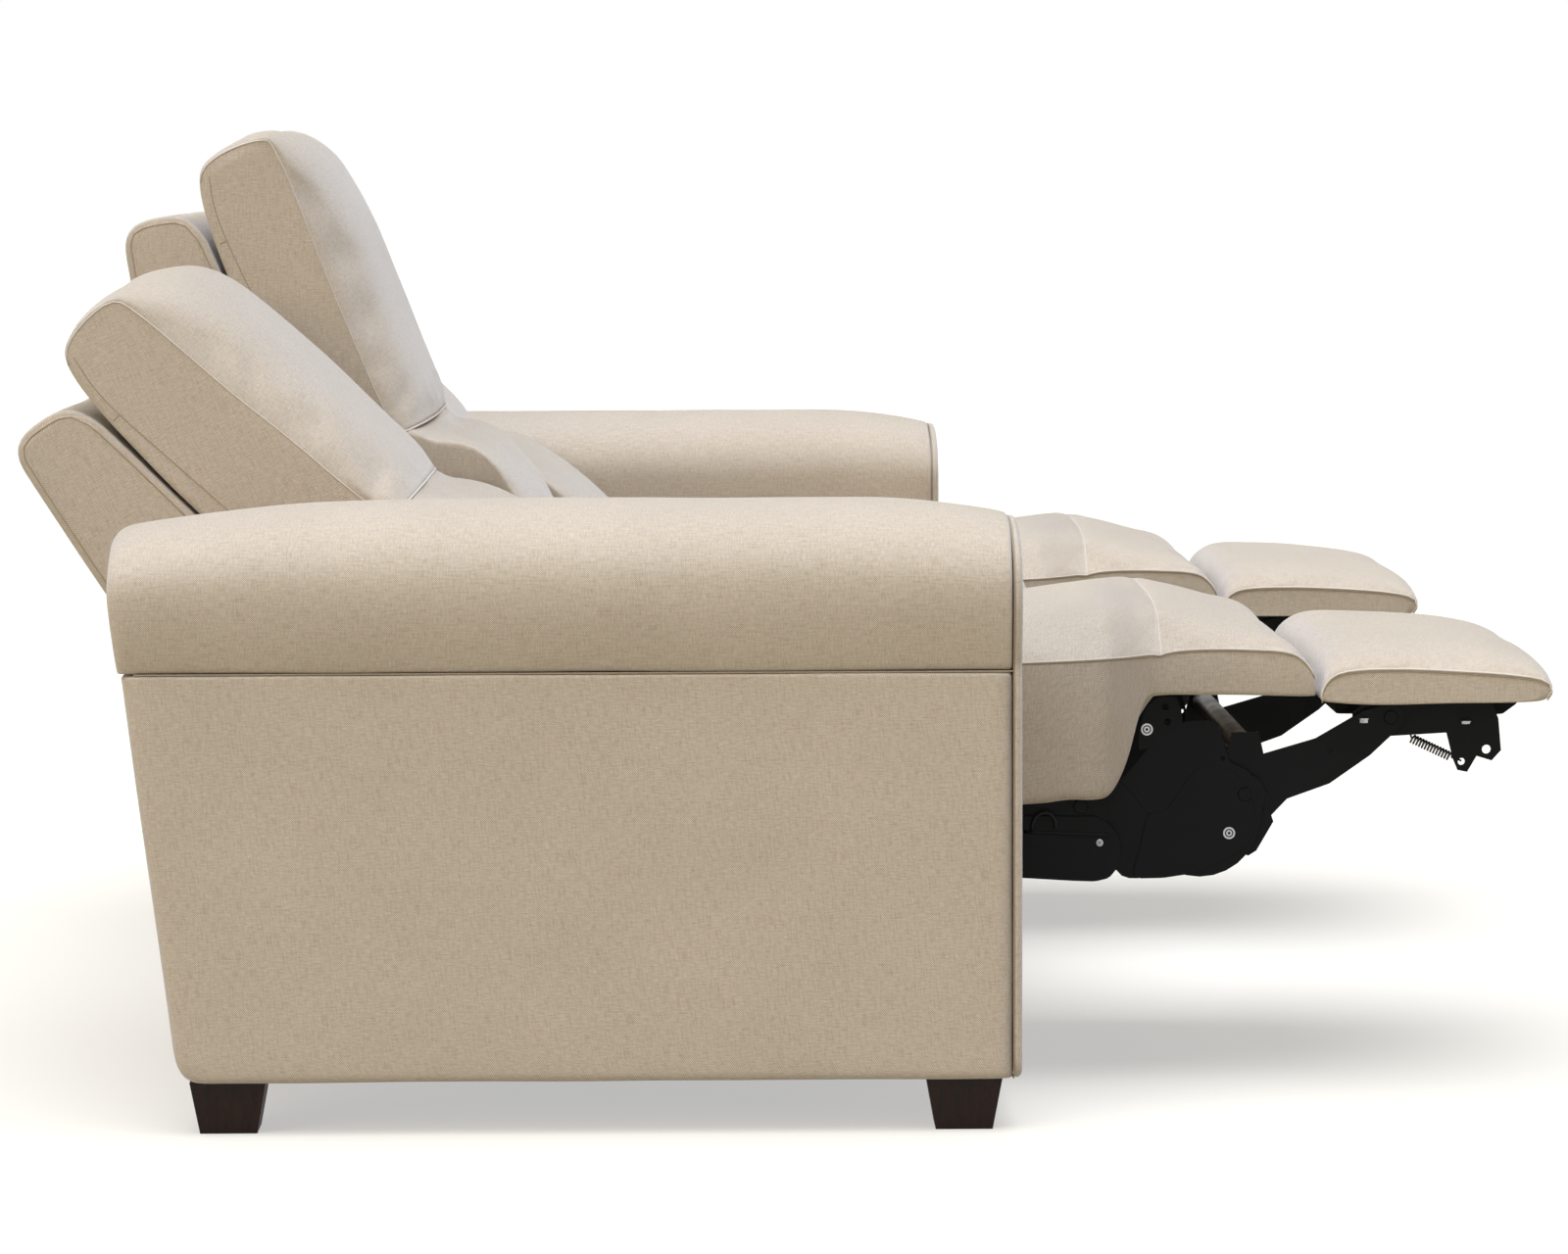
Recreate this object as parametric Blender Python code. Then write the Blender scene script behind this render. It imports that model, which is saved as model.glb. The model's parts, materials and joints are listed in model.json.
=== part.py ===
"""Three-seat power reclining sofa, with both end seats fully open.

Sizes are in millimetres and are turned into metres where meshes are made.
+X is the way that a sitter faces, +Y is a sitter's left and +Z is up.
The origin is on the floor under the middle of the whole sofa.
A side view is drawn as (x, z) points, and a front view as (y, z) points.
"""
import math

import bmesh
import bpy
from mathutils import Matrix, Vector

for old in list(bpy.data.objects):
    bpy.data.objects.remove(old, do_unlink=True)

MM = 0.001

# Widths
SEAT_PITCH = 560.0        # from one seat's middle to the next
ARM_WIDTH = 270.0         # over the roll
SIDE_GAP = 3.0            # between a moving seat and what stands beside it
TOUCH = 0.3               # gap left between two pieces that touch
ARM_TUCK = 14.0           # how far the arm's side panel lies inside its roll
SEAT_HALF = SEAT_PITCH / 2 - SIDE_GAP
BACK_HALF = SEAT_HALF - 2.0
ARM_INNER = 1.5 * SEAT_PITCH
ARM_OUTER = ARM_INNER + ARM_WIDTH

# Arms and feet
ARM_FRONT = 233.0
ARM_BOTTOM = 54.0
ARM_SEAM = 470.0          # where the roll meets the side panel
ROLL_SIDE = 70.0          # of upright side below the roll's round top
ARM_TOP = 639.0
ARM_REAR_LOW = -630.0     # the rear edge leans back as it rises
ARM_REAR_SEAM = -679.0
ARM_REAR_TOP = -690.0
FACING_THICK = 9.0
FOOT_TOP = 77.0
FOOT_BASE = 58.0
FOOT_INSET = 14.0
FRONT_FOOT_X = 174.5
REAR_FOOT_X = -573.0

# Base between the arms
RAIL_TOP = 95.0
FRONT_RAIL = (125.0, 170.0)
REAR_RAIL = (-604.0, -560.0)
REAR_PANEL_BACK = -628.0
REAR_PANEL_TOP = 155.0
DIVIDER_THICK = 6.0
DIVIDER_TOP = 290.0
SUPPORT_LEG = 36.0
NOTCH_BOTTOM = 62.0       # of the rail's notches, which the foot links swing through
NOTCH_CLEAR = 4.0         # beside each foot link in its notch

# Moving seat: its travel, and its pivots where they are when the seat is open
TRAVEL = 157.5
RECLINE_ANGLE = 23.0
RECLINE_PIVOT = (-162.5, 250.0)
LIFT_PIVOT = (310.0, 300.0)
LINK_LENGTH = 175.0
LIFT_ANGLE = 3.8          # of the lift link over level, open
FOOT_LINK_ANGLE = 27.4    # of the foot link over level, open
MID_PIVOT = (409.5, 461.5)
MID_RADIUS = 61.0         # of the mid pad's round rear end
MID_CLEAR = 0.6           # round that end, in the seat cushion's hollow front
HEADREST_PIVOT = (-405.0, 684.0)   # with the back upright and the seat closed
DECK_TOP = 364.7
DECK_BOTTOM = 300.0
TONGUE_RADIUS = 190.0     # of the lumbar's lower end about the recline pivot
TONGUE_CLEAR = 6.0

# Steel plates stand side by side, each in its own layer out from the seat's middle
PLATE_THICK = 4.0
PLATE_PITCH = 6.0         # from one layer of plates to the next
SIDE_INSET = 21.0         # from the moving seat's side in to its side plates
CARRIAGE_LAYER = SEAT_HALF - SIDE_INSET
LIFT_LAYER = CARRIAGE_LAYER - PLATE_PITCH
FOOT_LAYER = LIFT_LAYER - PLATE_PITCH
BRACKET_LAYER = FOOT_LAYER - PLATE_PITCH
BASE_LAYER = CARRIAGE_LAYER - 0.5
BASE_THICK = 8.5
BASE_TOP = 130.0
ROLLER_RADIUS = 12.0
PIN_RADIUS = 7.0
PIN_CLEAR = 0.6
TUBE_RADIUS = 12.5
TUBE_LIFT = 49.4          # of the cross tube over the knee pivot

# Footrest
BOARD_TOP = 409.0
BOARD_THICK = 15.0
BOARD_INSET = 13.0        # of the board inside the brackets' plates
BOARD_HALF = BRACKET_LAYER - BOARD_INSET
FOOT_BACK = 357.0         # rear face of the shut pad, in the moving seat's own frame
SPRING_TURNS = 14
SPRING_RADIUS = 3.9
SPRING_WIRE = 0.75

# Upright back, in (forward, up) steps along its own lean
BACK_LEAN = 22.5
SHELL_FRONT = -259.5
HEAD_REAR = -259.0
HEAD_REAR_SIDE = -246.0
HEAD_SEAM = -145.0        # forward reach of the headrest's side seam
HEAD_CROWN = -90.0        # forward reach of its crown
HEAD_TOP = 1160.0
SHELL_BOTTOM = 300.0
SHELF_THICK = 17.7
CENTRE_SHELL_BOTTOM = DIVIDER_TOP + SHELF_THICK + 2 * TOUCH

# Control panels on the arms
PANEL_X = (-29.0, 36.0)
PANEL_LIFT = 107.3        # over the seat's deck, which keeps the buttons clear of the seat cushion
PANEL_HEIGHT = 54.0
PANEL_Z = (DECK_TOP + PANEL_LIFT, DECK_TOP + PANEL_LIFT + PANEL_HEIGHT)
PANEL_THICK = 3.7
BUTTON_SIZE = 17.0
BUTTON_GAP = 0.5
BUTTON_DEPTH = 3.6
BUTTON_PROUD = 1.7

CREAM = (0.62, 0.53, 0.42, 0.85, 0.0)
BLACK_STEEL = (0.012, 0.012, 0.013, 0.42, 0.8)
DARK_WOOD = (0.035, 0.014, 0.009, 0.35, 0.0)
BARE_WOOD = (0.42, 0.29, 0.17, 0.7, 0.0)
BLACK_PLASTIC = (0.015, 0.015, 0.016, 0.5, 0.0)
SPRING_STEEL = (0.45, 0.45, 0.46, 0.3, 1.0)


def knee_point():
    """The pivot between the lift link and the foot link."""
    turn = math.radians(LIFT_ANGLE)
    return (LIFT_PIVOT[0] + LINK_LENGTH * math.cos(turn),
            LIFT_PIVOT[1] + LINK_LENGTH * math.sin(turn))


def ankle_point():
    """The pivot between the foot link and the footrest bracket."""
    turn = math.radians(FOOT_LINK_ANGLE)
    knee = knee_point()
    return (knee[0] + LINK_LENGTH * math.cos(turn), knee[1] + LINK_LENGTH * math.sin(turn))


KNEE = knee_point()
ANKLE = ankle_point()


def arc(centre, radius, start, stop, steps):
    """Points round a centre, from one angle in degrees to another."""
    turns = [math.radians(start + (stop - start) * i / steps) for i in range(steps + 1)]
    return [(centre[0] + radius * math.cos(t), centre[1] + radius * math.sin(t)) for t in turns]


def round_corners(points, radii, steps=3):
    """An outline with each corner rounded by its radius, and left sharp where that is 0."""
    rounded = []
    for i, (point, radius) in enumerate(zip(points, radii)):
        if not radius:
            rounded.append(point)
            continue
        here = Vector(point)
        before = (Vector(points[i - 1]) - here).normalized()
        after = (Vector(points[(i + 1) % len(points)]) - here).normalized()
        half = before.angle(after) / 2
        centre = here + (before + after).normalized() * radius / math.sin(half)
        start = here + before * radius / math.tan(half) - centre
        stop = here + after * radius / math.tan(half) - centre
        sweep = start.angle_signed(stop)
        for step in range(steps + 1):
            turned = start.copy()
            turned.rotate(Matrix.Rotation(-sweep * step / steps, 2))
            rounded.append(tuple(centre + turned))
    return rounded


def lean(forward, up):
    """The (x, z) point of the upright back that lies so far forward and up along its lean."""
    turn = math.radians(BACK_LEAN)
    return (forward * math.cos(turn) - up * math.sin(turn),
            forward * math.sin(turn) + up * math.cos(turn))


def lofted(rings, dip=0.0):
    """A closed mesh through rings of 3-D points, its two ends closed by fans that dip inwards."""
    mesh = bmesh.new()
    rows = [[mesh.verts.new(point) for point in ring] for ring in rings]
    count = len(rows[0])
    for low, high in zip(rows, rows[1:]):
        for i in range(count):
            j = (i + 1) % count
            mesh.faces.new((low[i], low[j], high[j], high[i]))
    for row, inner in ((rows[0], rows[1]), (rows[-1], rows[-2])):
        middle = sum((v.co for v in row), Vector()) / count
        inward = (sum((v.co for v in inner), Vector()) / count - middle).normalized()
        if dip:
            hub = mesh.verts.new(middle + inward * dip)
            for i in range(count):
                mesh.faces.new((row[i], row[(i + 1) % count], hub))
        else:
            mesh.faces.new(row)
    bmesh.ops.recalc_face_normals(mesh, faces=mesh.faces)
    return mesh


def slab(outline, low, high):
    """A side-view outline made solid between two places along Y."""
    return lofted([[(x, y, z) for x, z in outline] for y in (low, high)])


def block(x, y, z):
    """A box between three pairs of limits."""
    outline = [(x[0], z[0]), (x[1], z[0]), (x[1], z[1]), (x[0], z[1])]
    return slab(outline, y[0], y[1])


def rod(centre, radius, low, high, sides=16):
    """A round bar along Y."""
    return slab(arc(centre, radius, 0, 360 * (sides - 1) / sides, sides - 1), low, high)


STATIONS = (-1.0, -0.93, -0.75, -0.4, 0.0, 0.4, 0.75, 0.93, 1.0)


def cushion(middle_y, half, side, crown, dip=6.0, draw=4.0):
    """A soft pad: its side outline at both ends, swelling to its crown outline in the middle.

    Its ends dip in by dip, and draw pulls them in between the two ends of the outline.
    """
    rings = []
    for place in STATIONS:
        swell = (1 - abs(place) ** 3.2) ** 0.6 if abs(place) < 1 else 0.0
        ring = []
        for i, ((x0, z0), (x1, z1)) in enumerate(zip(side, crown)):
            pull = draw * math.sin(math.pi * i / (len(side) - 1)) ** 2
            ring.append((x0 + (x1 - x0) * swell, middle_y + place * (half - pull), z0 + (z1 - z0) * swell))
        rings.append(ring)
    return lofted(rings, dip)


def place(name, mesh, look, origin=(0.0, 0.0, 0.0), parent=None, smooth=None):
    """Make the object of a mesh in millimetres, with its origin at a point in its parent's space."""
    shift = Matrix.Translation(-Vector(origin))
    mesh.transform(Matrix.Scale(MM, 4) @ shift)
    data = bpy.data.meshes.new(name)
    mesh.to_mesh(data)
    mesh.free()
    made = bpy.data.objects.new(name, data)
    bpy.context.collection.objects.link(made)
    made.parent = parent
    made.location = Vector(origin) * MM
    material = bpy.data.materials.new(name)
    material.use_nodes = True
    shader = material.node_tree.nodes["Principled BSDF"]
    shader.inputs["Base Color"].default_value = (*look[:3], 1.0)
    shader.inputs["Roughness"].default_value = look[3]
    shader.inputs["Metallic"].default_value = look[4]
    data.materials.append(material)
    if smooth:
        data.shade_smooth()
        data.set_sharp_from_angle(angle=math.radians(smooth))
    return made


def combine(base, others, how="UNION"):
    """Join meshes into one solid, or cut the others out of the base."""
    scratch = []
    for mesh in [base, *others]:
        data = bpy.data.meshes.new("scratch")
        mesh.to_mesh(data)
        mesh.free()
        made = bpy.data.objects.new("scratch", data)
        bpy.context.collection.objects.link(made)
        scratch.append(made)
    for other in scratch[1:]:
        change = scratch[0].modifiers.new("join", "BOOLEAN")
        change.operation = how
        change.solver = "EXACT"
        change.object = other
    bpy.context.view_layer.update()
    graph = bpy.context.evaluated_depsgraph_get()
    result = bmesh.new()
    result.from_mesh(scratch[0].evaluated_get(graph).to_mesh())
    for made in scratch:
        data = made.data
        bpy.data.objects.remove(made, do_unlink=True)
        bpy.data.meshes.remove(data)
    return result


def axis_empty(name, point, parent=None, turn=0.0):
    """An empty on a joint's axis, turned about Y by degrees."""
    empty = bpy.data.objects.new(name, None)
    bpy.context.collection.objects.link(empty)
    empty.parent = parent
    empty.location = Vector(point) * MM
    empty.rotation_euler = (0.0, math.radians(turn), 0.0)
    return empty


def seat_outlines():
    """Side and crown outlines of the seat cushion, open, from its lower rear corner round."""
    floor = DECK_TOP + TOUCH
    rear = arc(RECLINE_PIVOT, TONGUE_RADIUS + TONGUE_CLEAR, 57, 36, 3)[:-1]
    front = arc(MID_PIVOT, MID_RADIUS + MID_CLEAR, 222, 180, 5)
    base = [(-3, floor), (180, floor), (361, floor)]
    side_top = [(346, 462), (325, 463), (250, 457), (150, 455), (50, 453), (-20, 450), (-48, 446), (-54, 432)]
    crown_top = [(345, 494), (325, 506), (250, 508), (150, 500), (50, 489), (-20, 481), (-48, 470),
                 (-54, 452)]
    return base + front + side_top + rear, base + front + crown_top + rear


def mid_pad_outlines():
    """Side and crown outlines of the pad between the seat and the footrest, open."""
    base = [(440, 418), (553, 420), (558, 441)]
    side_top = [(552, 452), (537, 463), (500, 467), (430, 468)]
    crown_top = [(556, 458), (545, 479), (500, 495), (430, 507)]
    side_rear = [(400, 468), (385, 468), (368, 468), (356, 468)] + arc(MID_PIVOT, MID_RADIUS, 174, 225, 5)
    crown_rear = arc(MID_PIVOT, MID_RADIUS, 131, 225, 9)
    return base + side_top + side_rear, base + crown_top + crown_rear


def foot_pad_outlines():
    """Side and crown outlines of the footrest pad, open."""
    bottom = BOARD_TOP + TOUCH
    side = [(561, bottom), (785, bottom), (802, 418), (806, 427), (792, 433),
            (740, 442), (690, 445), (640, 446), (578, 445), (562, 436)]
    crown = [(561, bottom), (785, bottom), (805, 419), (811, 434), (800, 450),
             (750, 464), (690, 472), (630, 475), (580, 471), (562, 455)]
    return side, crown


def shell_outline(bottom):
    """Side outline of the upright back shell, down to a level."""
    front_x = lean(SHELL_FRONT, 0)[0] - math.tan(math.radians(BACK_LEAN)) * (bottom - lean(SHELL_FRONT, 0)[1])
    rear_slope = 0.172
    rear_x = -746.0 + (890.0 - bottom) * rear_slope
    points = [(rear_x, bottom), (front_x, bottom), lean(SHELL_FRONT, 1108), (-676, 924), (-746, 908)]
    return round_corners(points, (0, 0, 0, 12, 22))


def headrest_outlines():
    """Side and crown outlines of the upright headrest cushion, from its crease up and over."""
    pivot = HEADREST_PIVOT
    side = [(pivot[0] - 22, pivot[1] - 12), lean(HEAD_SEAM, 815), lean(HEAD_SEAM, 900), lean(HEAD_SEAM, 1000),
            lean(HEAD_SEAM, 1100), lean(HEAD_SEAM - 4, HEAD_TOP - 12), lean(HEAD_SEAM - 20, HEAD_TOP),
            lean(-225, HEAD_TOP), lean(HEAD_REAR_SIDE, HEAD_TOP - 20),
            lean(HEAD_REAR_SIDE, 1000), lean(HEAD_REAR_SIDE, 880), lean(HEAD_REAR_SIDE, 800), lean(-235, 790)]
    crown = [pivot, lean(HEAD_CROWN - 2, 812), lean(HEAD_CROWN, 900), lean(HEAD_CROWN, 1000),
             lean(HEAD_CROWN - 4, 1075), lean(HEAD_CROWN - 22, 1130), lean(HEAD_CROWN - 62, HEAD_TOP + 12),
             lean(-200, HEAD_TOP + 12), lean(-250, HEAD_TOP - 22),
             lean(HEAD_REAR, 1000), lean(HEAD_REAR, 880), lean(HEAD_REAR, 800), lean(-245, 785)]
    return side, crown


def lumbar_outlines():
    """Side and crown outlines of the upright lumbar cushion, whose lower end turns about the pivot."""
    pivot = (RECLINE_PIVOT[0] - TRAVEL, RECLINE_PIVOT[1])
    low = arc(pivot, TONGUE_RADIUS, 58, 34, 3)
    rear = [lean(SHELL_FRONT + TOUCH, t) for t in (780, 700, 600, 0)]
    floor_z = low[-1][1]
    rear[-1] = (lean(SHELL_FRONT + TOUCH, 0)[0] - math.tan(math.radians(BACK_LEAN))
                * (floor_z - lean(SHELL_FRONT + TOUCH, 0)[1]), floor_z)
    top = [(HEADREST_PIVOT[0] - 30, HEADREST_PIVOT[1] - 22), lean(-235, 782)]
    side = low[::-1] + [(-242, 480), (-290, 545), (-345, 625), (-390, 666), top[0], top[1]] + rear
    crown = low[::-1] + [(-234, 480), (-258, 545), (-300, 628), (-360, 676),
                         (HEADREST_PIVOT[0] - 4, HEADREST_PIVOT[1] - 6), lean(-243, 782)] + rear
    return side, crown


def arm_half_width(x):
    """Half the width of the arm's roll, drawn in a little at both ends."""
    reach = (x - (ARM_REAR_TOP + ARM_FRONT) / 2) / ((ARM_FRONT - ARM_REAR_TOP) / 2)
    return ARM_WIDTH / 2 - 4 * abs(reach) ** 6


def arm_height(x):
    """Height of the roll's crest, lower at both ends than in the middle."""
    front_drop = 18 * max(0.0, (x - 60) / (ARM_FRONT - 60)) ** 2
    rear_drop = 27 * max(0.0, (-380 - x) / (-380 - ARM_REAR_TOP)) ** 2
    return ARM_TOP - front_drop - rear_drop


def roll_section(middle, half, top, sign, sides=9):
    """Front-view outline of the arm's roll: upright sides under a round top, tucked in low outside."""
    spring_line = ARM_SEAM + ROLL_SIDE
    tuck = 6.0
    over = []
    for i in range(sides + 1):
        turn = math.pi * i / sides
        rise = (top - spring_line) * math.sin(turn) ** 0.8
        over.append((middle + half * math.cos(turn), spring_line + rise))
    right_foot = middle + half - (tuck if sign > 0 else 0)
    left_foot = middle - half + (tuck if sign < 0 else 0)
    return [(right_foot, ARM_SEAM + TOUCH)] + over + [(left_foot, ARM_SEAM + TOUCH)]


def make_arm(side, sign):
    """Side panel, roll and front facing of one arm."""
    middle = sign * (ARM_INNER + ARM_WIDTH / 2)
    inner = sign * (ARM_INNER + 1)
    outer = sign * (ARM_OUTER - ARM_TUCK)
    panel_front = ARM_FRONT - FACING_THICK - TOUCH
    outline = round_corners(
        [(ARM_REAR_LOW + 14, ARM_BOTTOM), (panel_front, ARM_BOTTOM), (panel_front, ARM_SEAM),
         (ARM_REAR_SEAM, ARM_SEAM), (ARM_REAR_LOW, 80)], (16, 0, 0, 0, 0))
    panel = slab(outline, min(inner, outer), max(inner, outer))
    place(f"{side}_arm_panel", panel, CREAM)
    rings = []
    for x in (ARM_REAR_TOP, -672, -600, -450, -250, 0, 110, 180, panel_front):
        section = roll_section(middle, arm_half_width(x), arm_height(x), sign)
        slope = (ARM_REAR_SEAM - ARM_REAR_TOP) if x == ARM_REAR_TOP else 0
        rings.append([(x + slope * (1 - (z - ARM_SEAM) / (ARM_TOP - ARM_SEAM)), y, z) for y, z in section])
    place(f"{side}_arm_roll", lofted(rings), CREAM, smooth=40)
    top = roll_section(middle, ARM_WIDTH / 2 - 4, arm_height(ARM_FRONT), sign)
    low, high = sorted((inner, outer))
    face = [(low, ARM_BOTTOM + 8), (low + 8, ARM_BOTTOM), (high - 8, ARM_BOTTOM), (high, ARM_BOTTOM + 8),
            (high, ARM_SEAM)] + top + [(low, ARM_SEAM)]
    facing = lofted([[(x, y, z) for y, z in face] for x in (ARM_FRONT - FACING_THICK, ARM_FRONT)])
    place(f"{side}_arm_facing", facing, CREAM)


def make_foot(name, x, sign):
    """A tapered square foot under the corner of an arm."""
    middle = sign * (ARM_OUTER - ARM_TUCK - FOOT_INSET - FOOT_TOP / 2)
    rings = []
    for z, size in ((0.0, FOOT_BASE), (ARM_BOTTOM - TOUCH, FOOT_TOP)):
        half = size / 2
        rings.append([(x + a * half, middle + b * half, z) for a, b in ((-1, -1), (1, -1), (1, 1), (-1, 1))])
    place(name, lofted(rings), DARK_WOOD)


def rail_notch(low, high):
    """Cutter for the notch of one foot link in the front rail."""
    return block((FRONT_RAIL[0] - 1, FRONT_RAIL[1] + 1), (low - NOTCH_CLEAR, high + NOTCH_CLEAR),
                 (NOTCH_BOTTOM, RAIL_TOP + 1))


def make_base():
    """Rails across the sofa, dividers between its seats and the cord's gland."""
    across = (-ARM_INNER - 0.7, ARM_INNER + 0.7)
    rail = block(FRONT_RAIL, across, (ARM_BOTTOM, RAIL_TOP))
    legs = []
    notches = []
    for sign in (-1, 1):
        y = sign * SEAT_PITCH / 2
        x = sum(FRONT_RAIL) / 2
        half = SUPPORT_LEG / 2
        legs.append(block((x - half, x + half), (y - half, y + half), (0.0, ARM_BOTTOM + 5)))
        notches += both_sides(sign * SEAT_PITCH, FOOT_LAYER, PLATE_THICK, rail_notch)
    place("front_rail", combine(combine(rail, legs), notches, "DIFFERENCE"), BARE_WOOD)
    panel_front = REAR_RAIL[0]
    outline = [(REAR_PANEL_BACK, ARM_BOTTOM), (REAR_RAIL[1], ARM_BOTTOM), (REAR_RAIL[1], RAIL_TOP),
               (panel_front, RAIL_TOP), (panel_front, REAR_PANEL_TOP), (REAR_PANEL_BACK, REAR_PANEL_TOP)]
    place("rear_panel", slab(outline, *across), CREAM)
    for side, sign in (("right", -1), ("left", 1)):
        y = sign * SEAT_PITCH / 2
        divider = block((REAR_RAIL[0] + TOUCH, FRONT_RAIL[1]), (y - DIVIDER_THICK / 2, y + DIVIDER_THICK / 2),
                        (RAIL_TOP + TOUCH, DIVIDER_TOP))
        place(f"{side}_divider", divider, BARE_WOOD)
    length = 22.0
    rings = []
    for step, radius in ((TOUCH, 11.0), (5.0, 11.0), (6.0, 7.5), (length, 5.0)):
        x = REAR_PANEL_BACK - step
        rings.append([(x, -SEAT_PITCH + y, z) for y, z in arc((0, 104), radius, 0, 330, 11)])
    place("power_gland", lofted(rings), BLACK_PLASTIC, smooth=40)


def make_centre_seat():
    """The fixed middle seat, with the same cushions as a closed end seat."""
    half = SEAT_PITCH / 2 - DIVIDER_THICK / 2 - 1
    deck_rear = -385.0
    front = FOOT_BACK - TRAVEL - TOUCH
    tongue_step = -122.0
    rear_top = DIVIDER_TOP + 2 * SHELF_THICK
    outline = [(deck_rear, DIVIDER_TOP + TOUCH), (FRONT_RAIL[0] + 27, DIVIDER_TOP + TOUCH),
               (FRONT_RAIL[0] + 27, RAIL_TOP + TOUCH), (front, RAIL_TOP + TOUCH), (front, DECK_TOP),
               (tongue_step, DECK_TOP), (tongue_step, rear_top), (deck_rear, rear_top)]
    deck = slab(outline, -half, half)
    shelf = block((REAR_RAIL[0], FRONT_RAIL[0] + 20), (-half - 4, half + 4),
                  (DIVIDER_TOP + TOUCH, DIVIDER_TOP + TOUCH + SHELF_THICK))
    place("centre_seat_frame", combine(deck, [shelf]), BARE_WOOD)
    side, crown = seat_outlines()
    moved = Matrix.Translation((-TRAVEL, 0, 0))
    seat = cushion(0, SEAT_HALF, side, crown)
    seat.transform(moved)
    place("centre_seat_cushion", seat, CREAM, smooth=50)
    closed_mid = (MID_PIVOT[0] - TRAVEL, MID_PIVOT[1])
    panel = cushion(0, SEAT_HALF, *front_panel_outlines(closed_mid))
    place("centre_front_panel", panel, CREAM, smooth=50)
    shell = slab(shell_outline(CENTRE_SHELL_BOTTOM), -BACK_HALF, BACK_HALF)
    place("centre_back_shell", shell, CREAM, smooth=30)
    place("centre_lumbar", cushion(0, BACK_HALF, *lumbar_outlines()), CREAM, smooth=50)
    place("centre_headrest", cushion(0, BACK_HALF, *headrest_outlines()), CREAM, smooth=50)


def front_panel_outlines(pivot):
    """Side and crown outlines of the fixed front panel, from its lower rear corner round."""
    back = FOOT_BACK - TRAVEL
    fold = 311.0
    rear = arc(pivot, MID_RADIUS, 176, 231, 5) + [(pivot[0] - 38.5, DECK_TOP), (back, DECK_TOP)]
    side = [(back, 66), (240, 66), (248, 80), (250, 180), (248, 290), (240, fold), (262, fold + 12),
            (268, 380), (266, 450), (254, 470), (222, 470), (196, 469)] + rear
    crown = [(back, 66), (245, 66), (262, 84), (275, 180), (272, 290), (244, fold), (280, fold + 18),
             (300, 390), (296, 468), (270, 512), (232, 515), (193, 499)] + rear
    return side, crown


def make_controls(side, sign):
    """A control panel with two push buttons on the inner side of an arm."""
    wall = ARM_INNER - TOUCH
    face = wall - PANEL_THICK
    low, high = sorted((sign * wall, sign * face))
    middle_x = sum(PANEL_X) / 2
    middle_z = sum(PANEL_Z) / 2
    corners = [(PANEL_X[0], PANEL_Z[0]), (PANEL_X[1], PANEL_Z[0]), (PANEL_X[1], PANEL_Z[1]),
               (PANEL_X[0], PANEL_Z[1])]
    plate = slab(round_corners(corners, (6, 6, 6, 6)), low, high)
    cuts = []
    for shift in (-1, 1):
        x = middle_x + shift * BUTTON_SIZE * 0.85
        half = BUTTON_SIZE / 2
        cuts.append(block((x - half - BUTTON_GAP, x + half + BUTTON_GAP), (low - 1, high + 1),
                          (middle_z - half - BUTTON_GAP, middle_z + half + BUTTON_GAP)))
        near = sign * (face - BUTTON_PROUD)
        far = sign * (face - BUTTON_PROUD + BUTTON_DEPTH)
        button = block((x - half, x + half), tuple(sorted((near, far))), (middle_z - half, middle_z + half))
        name = f"{side}_open_button" if shift > 0 else f"{side}_close_button"
        place(name, button, BLACK_PLASTIC, origin=(x, far, middle_z))
    place(f"{side}_control_panel", combine(plate, cuts, "DIFFERENCE"), BLACK_PLASTIC)


def both_sides(middle_y, layer, thick, build):
    """Two copies of a plate, one out on each side of the seat's middle."""
    made = []
    for sign in (-1, 1):
        low, high = sorted((middle_y + sign * layer, middle_y + sign * (layer + thick)))
        made.append(build(low, high))
    return made


def make_mech_base(side, middle_y):
    """Two fixed runners, tied by cross bars, that carry the moving seat's rollers."""
    start, stop = REAR_RAIL[0] + TOUCH + 6, FRONT_RAIL[1] - 4
    runners = both_sides(middle_y, BASE_LAYER, BASE_THICK,
                         lambda low, high: block((start, stop), (low, high), (RAIL_TOP + TOUCH, BASE_TOP)))
    bars = []
    bar_top = RAIL_TOP + 8
    for x in (REAR_RAIL[1] - 40, -200.0):
        reach = BASE_LAYER + BASE_THICK / 2
        bars.append(block((x, x + 30), (middle_y - reach, middle_y + reach), (RAIL_TOP + TOUCH, bar_top)))
    place(f"{side}_mech_base", combine(runners[0], [bars[0], bars[1], runners[1]]), BLACK_STEEL)


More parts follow.
